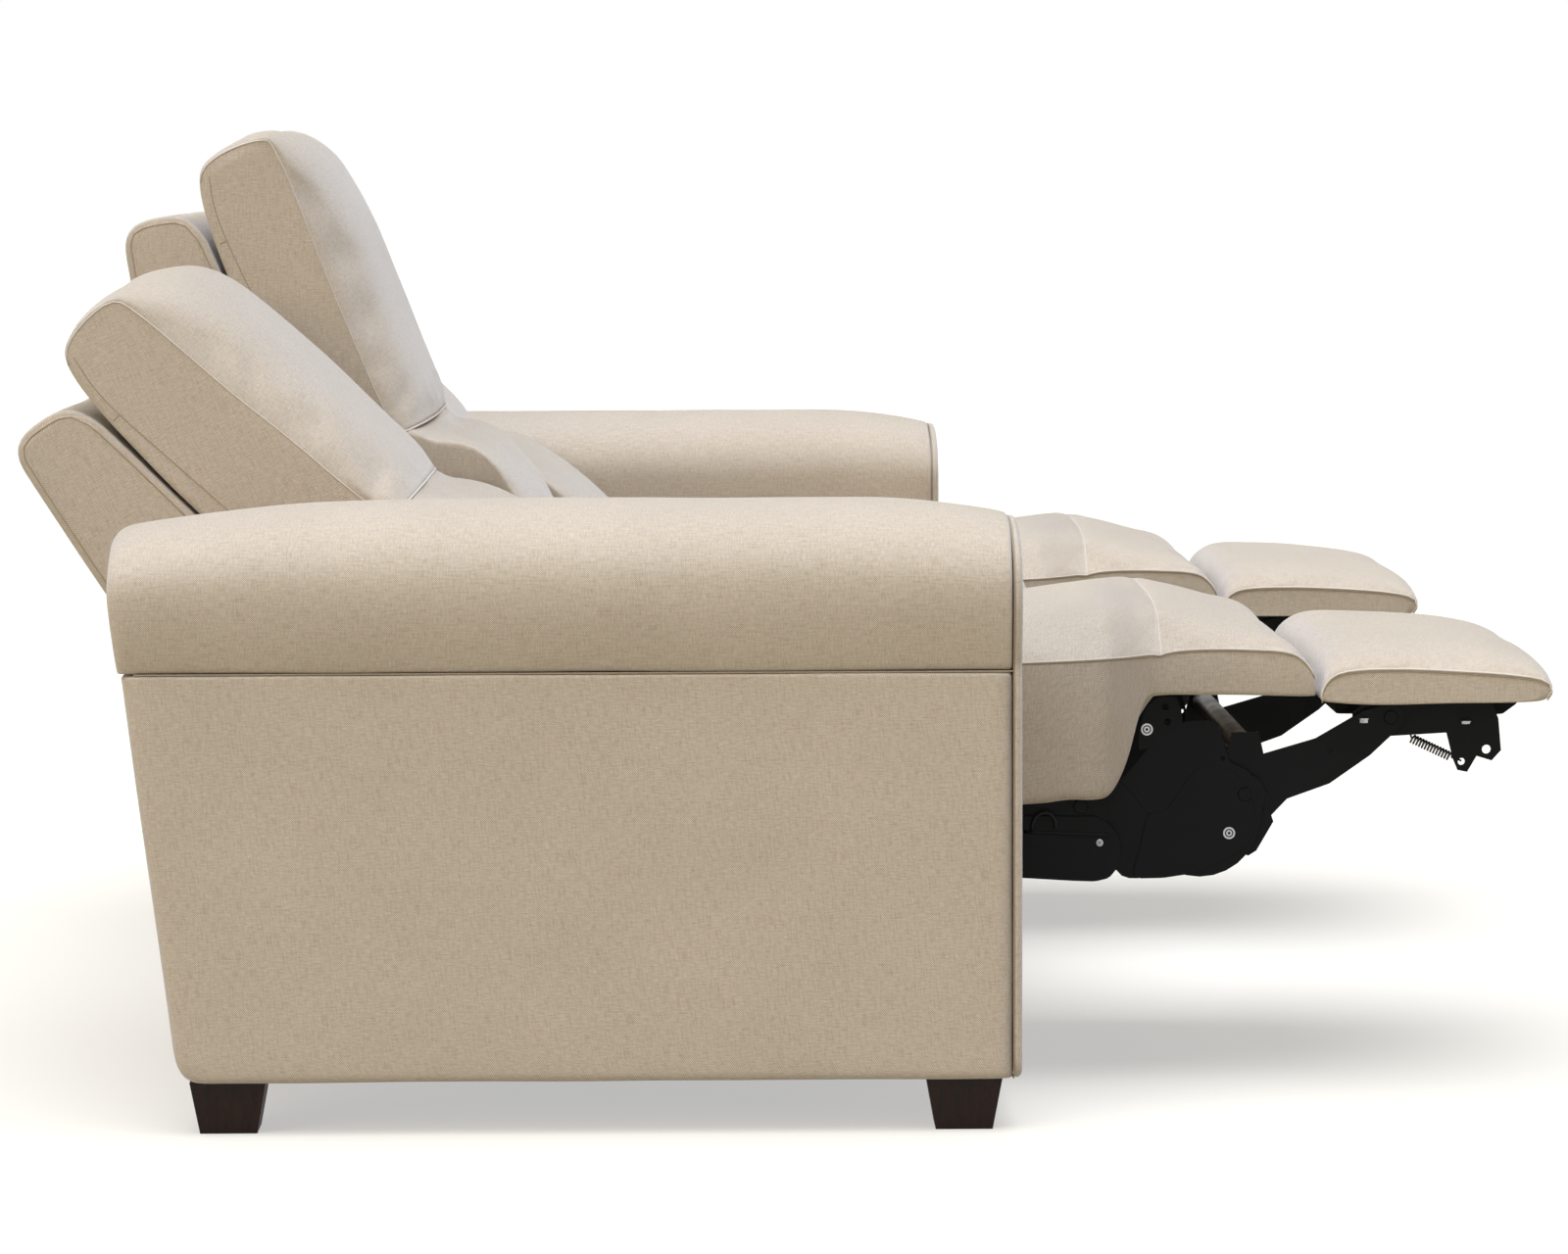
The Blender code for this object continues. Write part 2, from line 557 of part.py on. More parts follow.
def make_carriage(side, middle_y, slide):
    """Side plates of the moving seat with their rollers, tied by two square bars."""
    roller_z = BASE_TOP + TOUCH + ROLLER_RADIUS
    px, pz = RECLINE_PIVOT
    legs = []
    for x in (-120.0, 128.0):
        roller = arc((x, roller_z), ROLLER_RADIUS, 180, 360, 7)
        legs.append([(x - ROLLER_RADIUS, 226)] + roller + [(x + ROLLER_RADIUS, 226)])
    outline = ([(px - 27, pz + 12), (px - 27, pz - 12), (px - 14, pz - 27)] + legs[0] + legs[1]
               + [(290, 226), (322, 234), (338, 256), (338, 325), (330, 339.7), (40, 339.7), (20, 318),
                  (-100, 298), (px + 12, pz + 30), (px - 12, pz + 27)])

    def plate(low, high):
        bore = PIN_RADIUS + PIN_CLEAR
        holes = [rod(point, bore, low - 1, high + 1) for point in (RECLINE_PIVOT, LIFT_PIVOT)]
        return combine(slab(outline, low, high), holes, "DIFFERENCE")

    plates = both_sides(middle_y, CARRIAGE_LAYER, PLATE_THICK, plate)
    reach = CARRIAGE_LAYER + PLATE_THICK / 2
    bars = [block((x - 10, x + 10), (middle_y - reach, middle_y + reach), (262, 282)) for x in (-100.0, 60.0)]
    place(f"{side}_carriage", combine(plates[0], [bars[0], bars[1], plates[1]]), BLACK_STEEL, parent=slide)

    under = [(-190, DECK_BOTTOM + 12), (296, DECK_BOTTOM + 12), (296, 341), (-60, 341), (-190, 330)]
    rail_half = BOARD_HALF
    box_part = slab(under, middle_y - rail_half, middle_y + rail_half)
    top = block((30.0, 336.0), (middle_y - SEAT_HALF + 6, middle_y + SEAT_HALF - 6), (340.0, DECK_TOP))
    skirt = [(30, 301), (345, 301), (349, 316), (362, DECK_TOP), (30, DECK_TOP)]
    skirts = both_sides(middle_y, SEAT_HALF - 12, 12, lambda low, high: slab(skirt, low, high))
    place(f"{side}_seat_frame", combine(box_part, [top, *skirts]), BARE_WOOD, parent=slide)

    seat = cushion(middle_y, SEAT_HALF, *seat_outlines())
    place(f"{side}_seat_cushion", seat, CREAM, parent=slide, smooth=50)

    motor = block((-130, -10), (middle_y - 70, middle_y + 70), (212, 261.7))
    tubes = []
    for shift, x in ((-35.0, (-40.0, 150.0)), (35.0, (-150.0, -100.0))):
        ring = arc((0, 243.7), 18.0, 0, 330, 11)
        tubes.append(lofted([[(place_x, middle_y + shift + y, z) for y, z in ring] for place_x in x]))
    place(f"{side}_actuators", combine(motor, tubes), BLACK_PLASTIC, parent=slide)


def make_back(side, middle_y, slide):
    """Reclining back: shell, lumbar cushion and bracket, with the headrest on its own pivot."""
    pivot = (RECLINE_PIVOT[0], middle_y, RECLINE_PIVOT[1])
    turn = axis_empty(f"{side}_recline_axis", pivot, slide, -RECLINE_ANGLE)
    upright = Matrix.Translation((TRAVEL - pivot[0], -middle_y, -pivot[2]))

    def fixed(name, mesh, look, smooth=None, origin=(0.0, 0.0, 0.0), parent=turn):
        mesh.transform(upright)
        return place(name, mesh, look, origin, parent, smooth)

    fixed(f"{side}_back_shell", slab(shell_outline(SHELL_BOTTOM), middle_y - BACK_HALF, middle_y + BACK_HALF),
          CREAM, 30)
    fixed(f"{side}_lumbar", cushion(middle_y, BACK_HALF, *lumbar_outlines()), CREAM, 50)
    head = (HEADREST_PIVOT[0] + TRAVEL - pivot[0], 0.0, HEADREST_PIVOT[1] - pivot[2])
    fixed(f"{side}_headrest", cushion(middle_y, BACK_HALF, *headrest_outlines()), CREAM, 50, origin=head)

    hub_x, hub_z = RECLINE_PIVOT[0] - TRAVEL, RECLINE_PIVOT[1]
    top = SHELL_BOTTOM - TOUCH
    arm = arc((hub_x, hub_z), 20.0, -100, 60, 6)
    arm += [(hub_x - 70, top), (hub_x - 270, top), (hub_x - 270, top - 26), (hub_x - 90, top - 40)]
    arms = both_sides(middle_y, LIFT_LAYER, PLATE_THICK, lambda low, high: slab(arm, low, high))
    reach = LIFT_LAYER + PLATE_THICK / 2
    bars = [block((hub_x - x - 10, hub_x - x + 10), (middle_y - reach, middle_y + reach), (top - 20, top))
            for x in (110.0, 230.0)]
    pins = []
    pin_end = CARRIAGE_LAYER + PLATE_THICK + 2
    for sign in (-1, 1):
        ends = sorted((middle_y + sign * (LIFT_LAYER + 1), middle_y + sign * pin_end))
        pins.append(rod((hub_x, hub_z), PIN_RADIUS, *ends))
    fixed(f"{side}_back_bracket", combine(arms[0], [bars[0], bars[1], arms[1], *pins]), BLACK_STEEL)


def make_lift_links(side, middle_y, slide):
    """The pair of broad plates that swing the footrest out, on one shaft."""
    x, z = LIFT_PIVOT
    disc = (437.0, 288.0)
    outline = (arc(LIFT_PIVOT, 20.0, 80, 280, 8) + [(345, 270)] + arc(disc, 64.0, 205, 348, 11)
               + arc(KNEE, 22.0, -20, 85, 5) + [(452, 338), (424, 346), (417, 402), (412, 415), (394, 416.5),
                                              (387, 404), (389, 352), (370, 334), (335, 321)])

    def plate(low, high):
        solid = slab(outline, low, high)
        holes = [rod(KNEE, PIN_RADIUS + PIN_CLEAR, low - 1, high + 1)]
        holes += [rod(point, 4.0, low - 1, high + 1, 8) for point in ((400.0, 405.0), (402.5, 389.0))]
        return combine(solid, holes, "DIFFERENCE")

    plates = both_sides(middle_y, LIFT_LAYER, PLATE_THICK, plate)
    reach = CARRIAGE_LAYER + PLATE_THICK + 2
    shaft = rod((x, z), PIN_RADIUS, middle_y - reach, middle_y + reach)
    axis = axis_empty(f"{side}_lift_axis", (x, middle_y, z), slide)
    links = combine(plates[0], [shaft, plates[1]])
    links.transform(Matrix.Translation((-x, -middle_y, -z)))
    place(f"{side}_lift_links", links, BLACK_STEEL, parent=axis)
    return axis


def make_foot_links(side, middle_y, lift):
    """The pair of long links to the footrest, welded to the round cross tube."""
    outline = [(470, 298), (477, 264), (486, 253), (511, 286), (530, 306), (575, 322), (618, 352), (651, 383)]
    outline += arc(ANKLE, 14.5, -10, 100, 4)
    outline += [(612, 400), (560, 370), (505, 354), (500, 377), (471, 377), (464, 345), (463, 315)]

    def plate(low, high):
        holes = [rod(ANKLE, PIN_RADIUS + PIN_CLEAR, low - 1, high + 1)]
        return combine(slab(outline, low, high), holes, "DIFFERENCE")

    plates = both_sides(middle_y, FOOT_LAYER, PLATE_THICK, plate)
    reach = FOOT_LAYER + PLATE_THICK / 2
    tube = rod((KNEE[0], KNEE[1] + TUBE_LIFT), TUBE_RADIUS, middle_y - reach, middle_y + reach, 16)
    pins = []
    for sign in (-1, 1):
        ends = sorted((middle_y + sign * (FOOT_LAYER + 1), middle_y + sign * (CARRIAGE_LAYER - 0.6)))
        pins.append(rod(KNEE, PIN_RADIUS, *ends))
    links = combine(plates[0], [tube, plates[1], *pins])
    links.transform(Matrix.Translation((-KNEE[0], -middle_y, -KNEE[1])))
    axis = axis_empty(f"{side}_knee_axis", (KNEE[0] - LIFT_PIVOT[0], 0, KNEE[1] - LIFT_PIVOT[1]), lift)
    place(f"{side}_foot_links", links, BLACK_STEEL, parent=axis)
    return axis


def spring_path(middle_y, sign):
    """Centre line of the footrest's extension spring, hooked to the bracket at both ends."""
    start, stop = Vector((664.0, 0.0, 368.0)), Vector((706.0, 0.0, 348.0))
    y = middle_y + sign * (BRACKET_LAYER - 7.0)
    face = middle_y + sign * (BRACKET_LAYER - TOUCH)
    along = (stop - start).normalized()
    across = Vector((0.0, sign, 0.0))
    up = along.cross(across)
    points_per_turn = 8
    total = SPRING_TURNS * points_per_turn
    coil = []
    for i in range(total + 1):
        turn = 2 * math.pi * i / points_per_turn
        centre = start.lerp(stop, i / total)
        centre.y = y
        coil.append(centre + SPRING_RADIUS * (math.cos(turn) * across + math.sin(turn) * up))
    inside = face - sign * 3.0
    lead, tail = coil[0], coil[-1]
    first = [Vector((lead.x - 3.0, face, 380.0)), Vector((lead.x - 3.0, inside, 380.0))]
    last = [Vector((tail.x + 8.0, inside, tail.z - 3.0)), Vector((tail.x + 8.0, face, tail.z - 3.0))]
    return first + coil + last


def least_gap(points, wire, skip):
    """Least gap of a wound wire to itself, leaving out each point's nearest neighbours along it."""
    gaps = []
    for i, a in enumerate(points):
        for b in points[i + skip:]:
            gaps.append((a - b).length - 2 * wire)
    return min(gaps)


def make_spring(side, middle_y, sign, parent):
    """One unbroken spring wire, as a curve with a round bevel."""
    points = spring_path(middle_y, sign)
    curve = bpy.data.curves.new(f"{side}_spring", "CURVE")
    curve.dimensions = "3D"
    curve.bevel_depth = SPRING_WIRE * MM
    curve.bevel_resolution = 1
    curve.use_fill_caps = True
    spline = curve.splines.new("POLY")
    spline.points.add(len(points) - 1)
    origin = Vector((ANKLE[0], middle_y, ANKLE[1]))
    for target, point in zip(spline.points, points):
        target.co = (*((point - origin) * MM), 1.0)
    made = bpy.data.objects.new(f"{side}_spring", curve)
    bpy.context.collection.objects.link(made)
    made.parent = parent
    material = bpy.data.materials.new(f"{side}_spring")
    material.use_nodes = True
    shader = material.node_tree.nodes["Principled BSDF"]
    shader.inputs["Base Color"].default_value = (*SPRING_STEEL[:3], 1.0)
    shader.inputs["Roughness"].default_value = SPRING_STEEL[3]
    shader.inputs["Metallic"].default_value = SPRING_STEEL[4]
    curve.materials.append(material)
    print(f"{side}_spring: least gap to itself {least_gap(points, SPRING_WIRE, 5):.2f} mm")


def make_footrest(side, middle_y, sign, knee):
    """Bracket, board, pad and spring that swing together on the foot links."""
    origin = (ANKLE[0], middle_y, ANKLE[1])
    axis = axis_empty(f"{side}_ankle_axis", (ANKLE[0] - KNEE[0], 0, ANKLE[1] - KNEE[1]), knee)
    to_axis = Matrix.Translation(-Vector(origin))

    def fixed(name, mesh, look, smooth=None):
        mesh.transform(to_axis)
        place(name, mesh, look, parent=axis, smooth=smooth)

    board_bottom = BOARD_TOP - BOARD_THICK
    outline = [(600, 385), (606, 374), (628, 371), (700, 375), (707, 347), (712, 335), (722, 333), (732, 350),
               (748, 345), (758, 356), (755, 390), (748, 407), (612, 407), (600, 398)]

    def plate(low, high):
        holes = [rod((742.5, 357), 5.0, low - 1, high + 1, 10), rod((716, 344), 4.0, low - 1, high + 1, 10)]
        return combine(slab(outline, low, high), holes, "DIFFERENCE")

    plates = both_sides(middle_y, BRACKET_LAYER, PLATE_THICK, plate)
    reach = BRACKET_LAYER + PLATE_THICK / 2
    bar_top = board_bottom - TOUCH
    bars = [block((x - 14, x + 14), (middle_y - reach, middle_y + reach), (bar_top - 5, bar_top))
            for x in (668.0, 735.0)]
    pins = []
    for way in (-1, 1):
        ends = sorted((middle_y + way * (BRACKET_LAYER + 1), middle_y + way * (LIFT_LAYER - 0.6)))
        pins.append(rod(ANKLE, PIN_RADIUS, *ends))
    fixed(f"{side}_footrest_bracket", combine(plates[0], [bars[0], bars[1], plates[1], *pins]), BLACK_STEEL)
    board = block((584, 768), (middle_y - BOARD_HALF, middle_y + BOARD_HALF), (board_bottom, BOARD_TOP))
    fixed(f"{side}_footrest_board", board, BLACK_PLASTIC)
    fixed(f"{side}_footrest_pad", cushion(middle_y, SEAT_HALF, *foot_pad_outlines()), CREAM, 50)
    make_spring(side, middle_y, sign, axis)


def make_mid_pad(side, middle_y, slide):
    """The pad that folds down from the front of the seat."""
    origin = (MID_PIVOT[0], middle_y, MID_PIVOT[1])
    pad = cushion(middle_y, SEAT_HALF, *mid_pad_outlines())
    place(f"{side}_mid_pad", pad, CREAM, origin, slide, 50)


make_base()
make_centre_seat()
for seat_side, seat_sign in (("right", -1), ("left", 1)):
    seat_y = seat_sign * SEAT_PITCH
    make_arm(seat_side, seat_sign)
    make_foot(f"{seat_side}_front_foot", FRONT_FOOT_X, seat_sign)
    make_foot(f"{seat_side}_rear_foot", REAR_FOOT_X, seat_sign)
    make_controls(seat_side, seat_sign)
    make_mech_base(seat_side, seat_y)
    seat_slide = axis_empty(f"{seat_side}_seat_slide", (0.0, 0.0, 0.0))
    make_carriage(seat_side, seat_y, seat_slide)
    make_back(seat_side, seat_y, seat_slide)
    lift_axis = make_lift_links(seat_side, seat_y, seat_slide)
    knee_axis = make_foot_links(seat_side, seat_y, lift_axis)
    make_footrest(seat_side, seat_y, seat_sign, knee_axis)
    make_mid_pad(seat_side, seat_y, seat_slide)
bpy.context.view_layer.update()
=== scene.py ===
"""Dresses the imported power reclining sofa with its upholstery, finishes, camera and light.

Shapes are drawn in millimetres and turned into metres where meshes are made.
A side view is drawn as (x, z) points and a front view as (y, z) points, as in the part's own source.
The near end seat is the right one, at negative Y.
"""

import math

import bmesh
import bpy
import numpy as np
from mathutils import Matrix, Vector, noise
from mathutils.bvhtree import BVHTree
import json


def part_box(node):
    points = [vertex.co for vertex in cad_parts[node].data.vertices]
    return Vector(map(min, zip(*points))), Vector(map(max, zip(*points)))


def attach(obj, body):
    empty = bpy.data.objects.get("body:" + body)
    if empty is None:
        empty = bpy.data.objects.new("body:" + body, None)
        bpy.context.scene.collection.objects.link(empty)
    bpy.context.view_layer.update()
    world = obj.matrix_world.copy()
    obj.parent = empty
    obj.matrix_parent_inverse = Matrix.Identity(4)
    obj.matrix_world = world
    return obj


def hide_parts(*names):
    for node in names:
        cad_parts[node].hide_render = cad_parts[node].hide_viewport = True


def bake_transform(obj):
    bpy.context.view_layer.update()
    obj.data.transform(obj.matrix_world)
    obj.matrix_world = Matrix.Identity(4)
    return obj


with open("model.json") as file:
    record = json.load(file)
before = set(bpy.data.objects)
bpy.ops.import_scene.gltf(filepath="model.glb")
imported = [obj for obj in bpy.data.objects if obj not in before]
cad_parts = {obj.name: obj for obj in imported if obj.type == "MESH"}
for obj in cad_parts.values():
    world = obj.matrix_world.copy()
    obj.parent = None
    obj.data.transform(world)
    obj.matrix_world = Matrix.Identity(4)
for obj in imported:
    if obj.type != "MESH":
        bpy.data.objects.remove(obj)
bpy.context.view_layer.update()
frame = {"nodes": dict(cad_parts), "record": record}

MM = 0.001
SIDES = (("right", -1), ("left", 1))
JOINTS = {joint["name"]: joint for joint in frame["record"]["behaviour"]["joints"]}


def limits(node, axis):
    """The lowest and highest place of a CAD node along an axis, in millimetres."""
    low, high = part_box(node)
    return low[axis] / MM, high[axis] / MM


# Places read from the frame
SEAT_PITCH = -JOINTS["right_recline"]["pos_m"][1] / MM
SEAT_HALF = (limits("right_seat_cushion", 1)[1] - limits("right_seat_cushion", 1)[0]) / 2
BACK_HALF = (limits("centre_back_shell", 1)[1] - limits("centre_back_shell", 1)[0]) / 2
ARM_INNER = limits("left_arm_roll", 1)[0]
ARM_OUTER = limits("left_arm_roll", 1)[1]
ARM_PANEL_OUTER = limits("left_arm_panel", 1)[1]
ARM_BOTTOM = limits("left_arm_panel", 2)[0]
ARM_SEAM = limits("left_arm_panel", 2)[1]
ARM_TOP = limits("left_arm_roll", 2)[1]
ARM_FRONT = limits("left_arm_facing", 0)[1]
FACING_BACK = limits("left_arm_facing", 0)[0]
ARM_REAR_TOP = limits("left_arm_roll", 0)[0]
ARM_REAR_SEAM = limits("left_arm_panel", 0)[0]
DECK_TOP = limits("right_seat_frame", 2)[1]
APRON_BOTTOM = limits("right_seat_frame", 2)[0]
RECLINE_PIVOT = (JOINTS["right_recline"]["pos_m"][0] / MM, JOINTS["right_recline"]["pos_m"][2] / MM)
RECLINE_ANGLE = JOINTS["right_recline"]["range_deg"][1]
TRAVEL = -JOINTS["right_seat_slide"]["range_m"][0] / MM
LIFT_PIVOT = (JOINTS["right_lift_pivot"]["pos_m"][0] / MM, JOINTS["right_lift_pivot"]["pos_m"][2] / MM)
KNEE = (JOINTS["right_knee_pivot"]["pos_m"][0] / MM, JOINTS["right_knee_pivot"]["pos_m"][2] / MM)
ANKLE = (JOINTS["right_ankle_pivot"]["pos_m"][0] / MM, JOINTS["right_ankle_pivot"]["pos_m"][2] / MM)
BACK_LEAN = 22.5
BOARD_TOP = limits("right_footrest_board", 2)[1]

# Upholstery
YARN = 1.05               # width of one yarn of the weave
SEAM_RADIUS = 1.3
SEAM_GROOVE = 2.5


# Node materials

def math_node(tree, operation, *values):
    """The output of a Math node whose inputs are numbers or other nodes' outputs."""
    node = tree.nodes.new("ShaderNodeMath")
    node.operation = operation
    for socket, value in zip(node.inputs, values):
        if isinstance(value, bpy.types.NodeSocket):
            tree.links.new(value, socket)
        else:
            socket.default_value = value
    return node.outputs[0]


def noise_node(tree, vector, scale, detail=2.0, roughness=0.5, stretch=(1.0, 1.0, 1.0)):
    """The value of a noise texture over stretched coordinates."""
    mapping = tree.nodes.new("ShaderNodeMapping")
    mapping.inputs["Scale"].default_value = stretch
    tree.links.new(vector, mapping.inputs["Vector"])
    node = tree.nodes.new("ShaderNodeTexNoise")
    node.inputs["Scale"].default_value = scale
    node.inputs["Detail"].default_value = detail
    node.inputs["Roughness"].default_value = roughness
    tree.links.new(mapping.outputs[0], node.inputs["Vector"])
    return node.outputs["Fac"]


def mix_colour(tree, factor, first, second, blend="MIX"):
    """The mix of two colours, each a tuple or an output."""
    node = tree.nodes.new("ShaderNodeMix")
    node.data_type = "RGBA"
    node.blend_type = blend
    node.clamp_result = True
    for socket, value in ((node.inputs[0], factor), (node.inputs[6], first), (node.inputs[7], second)):
        if isinstance(value, bpy.types.NodeSocket):
            tree.links.new(value, socket)
        elif isinstance(value, tuple):
            socket.default_value = (*value, 1.0)
        else:
            socket.default_value = value
    return node.outputs[2]


def ramp(tree, value, low, high, bottom=0.0, top=1.0):
    """A value stretched from one range to another and held inside it."""
    node = tree.nodes.new("ShaderNodeMapRange")
    node.inputs["From Min"].default_value = low
    node.inputs["From Max"].default_value = high
    node.inputs["To Min"].default_value = bottom
    node.inputs["To Max"].default_value = top
    tree.links.new(value, node.inputs["Value"])
    return node.outputs[0]


def new_material(name, roughness, metallic=0.0):
    """A material with its tree, its shader and the piece's own coordinates."""
    material = bpy.data.materials.new(name)
    material.use_nodes = True
    tree = material.node_tree
    shader = tree.nodes["Principled BSDF"]
    shader.inputs["Roughness"].default_value = roughness
    shader.inputs["Metallic"].default_value = metallic
    place = tree.nodes.new("ShaderNodeTexCoord").outputs["Object"]
    return material, tree, shader, place


def add_bump(tree, shader, height, distance, strength=1.0):
    """Relief on a shader from a height."""
    bump = tree.nodes.new("ShaderNodeBump")
    bump.inputs["Distance"].default_value = distance
    bump.inputs["Strength"].default_value = strength
    tree.links.new(height, bump.inputs["Height"])
    tree.links.new(bump.outputs[0], shader.inputs["Normal"])


def make_fabric():
    """Two-tone basket weave: cream warp over tan weft, with faint slubs, a soft pile and painted shade on each yarn."""
    material, tree, shader, place = new_material("upholstery", 0.9)
    cream, tan, dark = (0.67, 0.59, 0.475), (0.46, 0.36, 0.25), (0.33, 0.24, 0.155)
    weave = tree.nodes.new("ShaderNodeUVMap")
    weave.uv_map = "weave"
    flat = weave.outputs[0]
    wander = noise_node(tree, flat, 60.0, 1.0)
    parts = tree.nodes.new("ShaderNodeSeparateXYZ")
    tree.links.new(flat, parts.inputs[0])
    across = math_node(tree, "MULTIPLY_ADD", wander, 0.5, math_node(tree, "DIVIDE", parts.outputs[0], YARN * MM))
    along = math_node(tree, "MULTIPLY_ADD", wander, -0.5, math_node(tree, "DIVIDE", parts.outputs[1], YARN * MM))
    cells = math_node(tree, "ADD", math_node(tree, "FLOOR", across), math_node(tree, "FLOOR", along))
    over = math_node(tree, "PINGPONG", cells, 1.0)
    waves = [math_node(tree, "ABSOLUTE", math_node(tree, "SINE", math_node(tree, "MULTIPLY", value, math.pi)))
             for value in (across, along)]
    crown = math_node(tree, "MULTIPLY", *waves)
    warp_slub = noise_node(tree, flat, 1.0, 2.0, 0.6, (520.0, 60.0, 1.0))
    weft_slub = noise_node(tree, flat, 1.0, 2.0, 0.6, (55.0, 520.0, 1.0))
    cloud = noise_node(tree, place, 9.0, 3.0, 0.55)
    dash = noise_node(tree, flat, 1.0, 3.0, 0.7, (130.0, 620.0, 1.0))
    light = mix_colour(tree, ramp(tree, warp_slub, 0.45, 0.85), cream, tan)
    deep = mix_colour(tree, ramp(tree, weft_slub, 0.5, 0.8), tan, dark)
    woven = mix_colour(tree, over, light, deep)
    # Painted shade: each yarn is darker towards its edges and lightest on its crown. This shade goes on through grain
    # and tone into the base colour.
    shade = ramp(tree, crown, 0.0, 0.5, 0.8, 1.04)
    grain = math_node(tree, "MULTIPLY", shade, ramp(tree, dash, 0.3, 0.7, 0.83, 1.12))
    tone = math_node(tree, "MULTIPLY", grain, ramp(tree, cloud, 0.3, 0.7, 0.975, 1.025))
    grey = tree.nodes.new("ShaderNodeCombineColor")
    for socket in grey.inputs:
        tree.links.new(tone, socket)
    tree.links.new(mix_colour(tree, 1.0, woven, grey.outputs[0], "MULTIPLY"), shader.inputs["Base Color"])
    relief = math_node(tree, "MULTIPLY_ADD", weft_slub, 0.5, crown)
    add_bump(tree, shader, relief, 0.0004, 0.6)
    shader.inputs["Sheen Weight"].default_value = 0.7
    shader.inputs["Sheen Roughness"].default_value = 0.45
    shader.inputs["Specular IOR Level"].default_value = 0.15
    return material


def make_thread_and_seam_shade():
    """The thread of a sewn seam, its colour darkened with painted shade of the fold it lies in."""
    material, tree, shader, place = new_material("seam_thread_and_shade", 0.9)
    twist = noise_node(tree, place, 900.0, 1.0)
    tree.links.new(mix_colour(tree, twist, (0.24, 0.175, 0.11), (0.44, 0.35, 0.24)), shader.inputs["Base Color"])
    add_bump(tree, shader, twist, 0.0004)
    return material


def make_wood(name, light, dark, roughness, coat, stretch):
    """Wood with long grain and fine pores."""
    material, tree, shader, place = new_material(name, roughness)
    grain = noise_node(tree, place, 6.0, 6.0, 0.65, stretch)
    pores = noise_node(tree, place, 40.0, 2.0, 0.6, stretch)
    band = ramp(tree, grain, 0.35, 0.65)
    tree.links.new(mix_colour(tree, band, dark, light), shader.inputs["Base Color"])
    tree.links.new(ramp(tree, pores, 0.3, 0.7, roughness - 0.08, roughness + 0.12), shader.inputs["Roughness"])
    add_bump(tree, shader, pores, 0.0003, 0.5)
    shader.inputs["Coat Weight"].default_value = coat
    shader.inputs["Coat Roughness"].default_value = 0.25
    shader.inputs["Specular IOR Level"].default_value = 0.2
    return material


def make_paint(name, colour, worn, roughness, metallic, bump, shine=0.12):
    """Satin paint or moulding with a fine texture and slightly rubbed high spots."""
    material, tree, shader, place = new_material(name, roughness, metallic)
    patches = noise_node(tree, place, 25.0, 4.0, 0.6)
    grain = noise_node(tree, place, 700.0, 2.0)
    tree.links.new(mix_colour(tree, ramp(tree, patches, 0.55, 0.8), colour, worn), shader.inputs["Base Color"])
    tree.links.new(ramp(tree, patches, 0.3, 0.7, roughness - 0.07, roughness + 0.1), shader.inputs["Roughness"])
    add_bump(tree, shader, grain, bump, 0.5)
    shader.inputs["Specular IOR Level"].default_value = shine
    return material


FABRIC = make_fabric()
# Seam lines: thread colour with painted shade of each seam's fold.
THREAD_AND_SEAM_SHADE = make_thread_and_seam_shade()
DARK_WOOD = make_wood("dark_wood", (0.016, 0.005, 0.0025), (0.005, 0.002, 0.001), 0.5, 0.03, (30.0, 30.0, 2.5))
BARE_WOOD = make_wood("bare_wood", (0.50, 0.36, 0.22), (0.36, 0.24, 0.13), 0.68, 0.0, (20.0, 1.5, 20.0))
STEEL = make_paint("black_steel", (0.0022, 0.0022, 0.0024), (0.005, 0.005, 0.005), 0.45, 0.0, 0.0001)
BOARD = make_paint("black_board", (0.0025, 0.0025, 0.0025), (0.005, 0.0045, 0.004), 0.65, 0.0, 0.0002)
PLASTIC = make_paint("black_plastic", (0.006, 0.006, 0.0065), (0.011, 0.011, 0.011), 0.5, 0.0, 0.0002, 0.2)
ZINC = make_paint("zinc", (0.42, 0.42, 0.43), (0.6, 0.6, 0.6), 0.32, 1.0, 0.00005, 0.5)
SPRING_STEEL = make_paint("spring_steel", (0.055, 0.052, 0.048), (0.13, 0.125, 0.115), 0.38, 1.0, 0.00005, 0.5)
# Cross tube sleeve: dark steel, made greyer than the black paint as a painted sheen on its round top.
TUBE_STEEL_AND_SHEEN = make_paint("tube_steel_and_sheen", (0.022, 0.020, 0.018), (0.05, 0.046, 0.042), 0.34, 0.2, 0.0001, 0.6)


# Mesh helpers

def dense(points, steps, corners=()):
    """A closed outline with each side cut into its number of steps along a smooth curve.

    Points whose index is in corners keep a sharp turn.
    """
    count = len(points)
    made = []
    for i in range(count):
        p1, p2 = np.array(points[i], float), np.array(points[(i + 1) % count], float)
        p0 = p1 if i in corners else np.array(points[i - 1], float)
        p3 = p2 if (i + 1) % count in corners else np.array(points[(i + 2) % count], float)
        span = np.linalg.norm(p2 - p1)
        before = (p2 - p0) / max(np.linalg.norm(p1 - p0) + span, 1e-6) * span
        after = (p3 - p1) / max(span + np.linalg.norm(p3 - p2), 1e-6) * span
        for step in range(steps[i]):
            t = step / steps[i]
            made.append((2 * t ** 3 - 3 * t ** 2 + 1) * p1 + (t ** 3 - 2 * t ** 2 + t) * before
                        + (3 * t ** 2 - 2 * t ** 3) * p2 + (t ** 3 - t ** 2) * after)
    return np.array(made)


def steps_for(points, length):
    """How many steps of about a length each side of a closed outline takes."""
    count = len(points)
    return [max(1, round(math.dist(points[i], points[(i + 1) % count]) / length)) for i in range(count)]


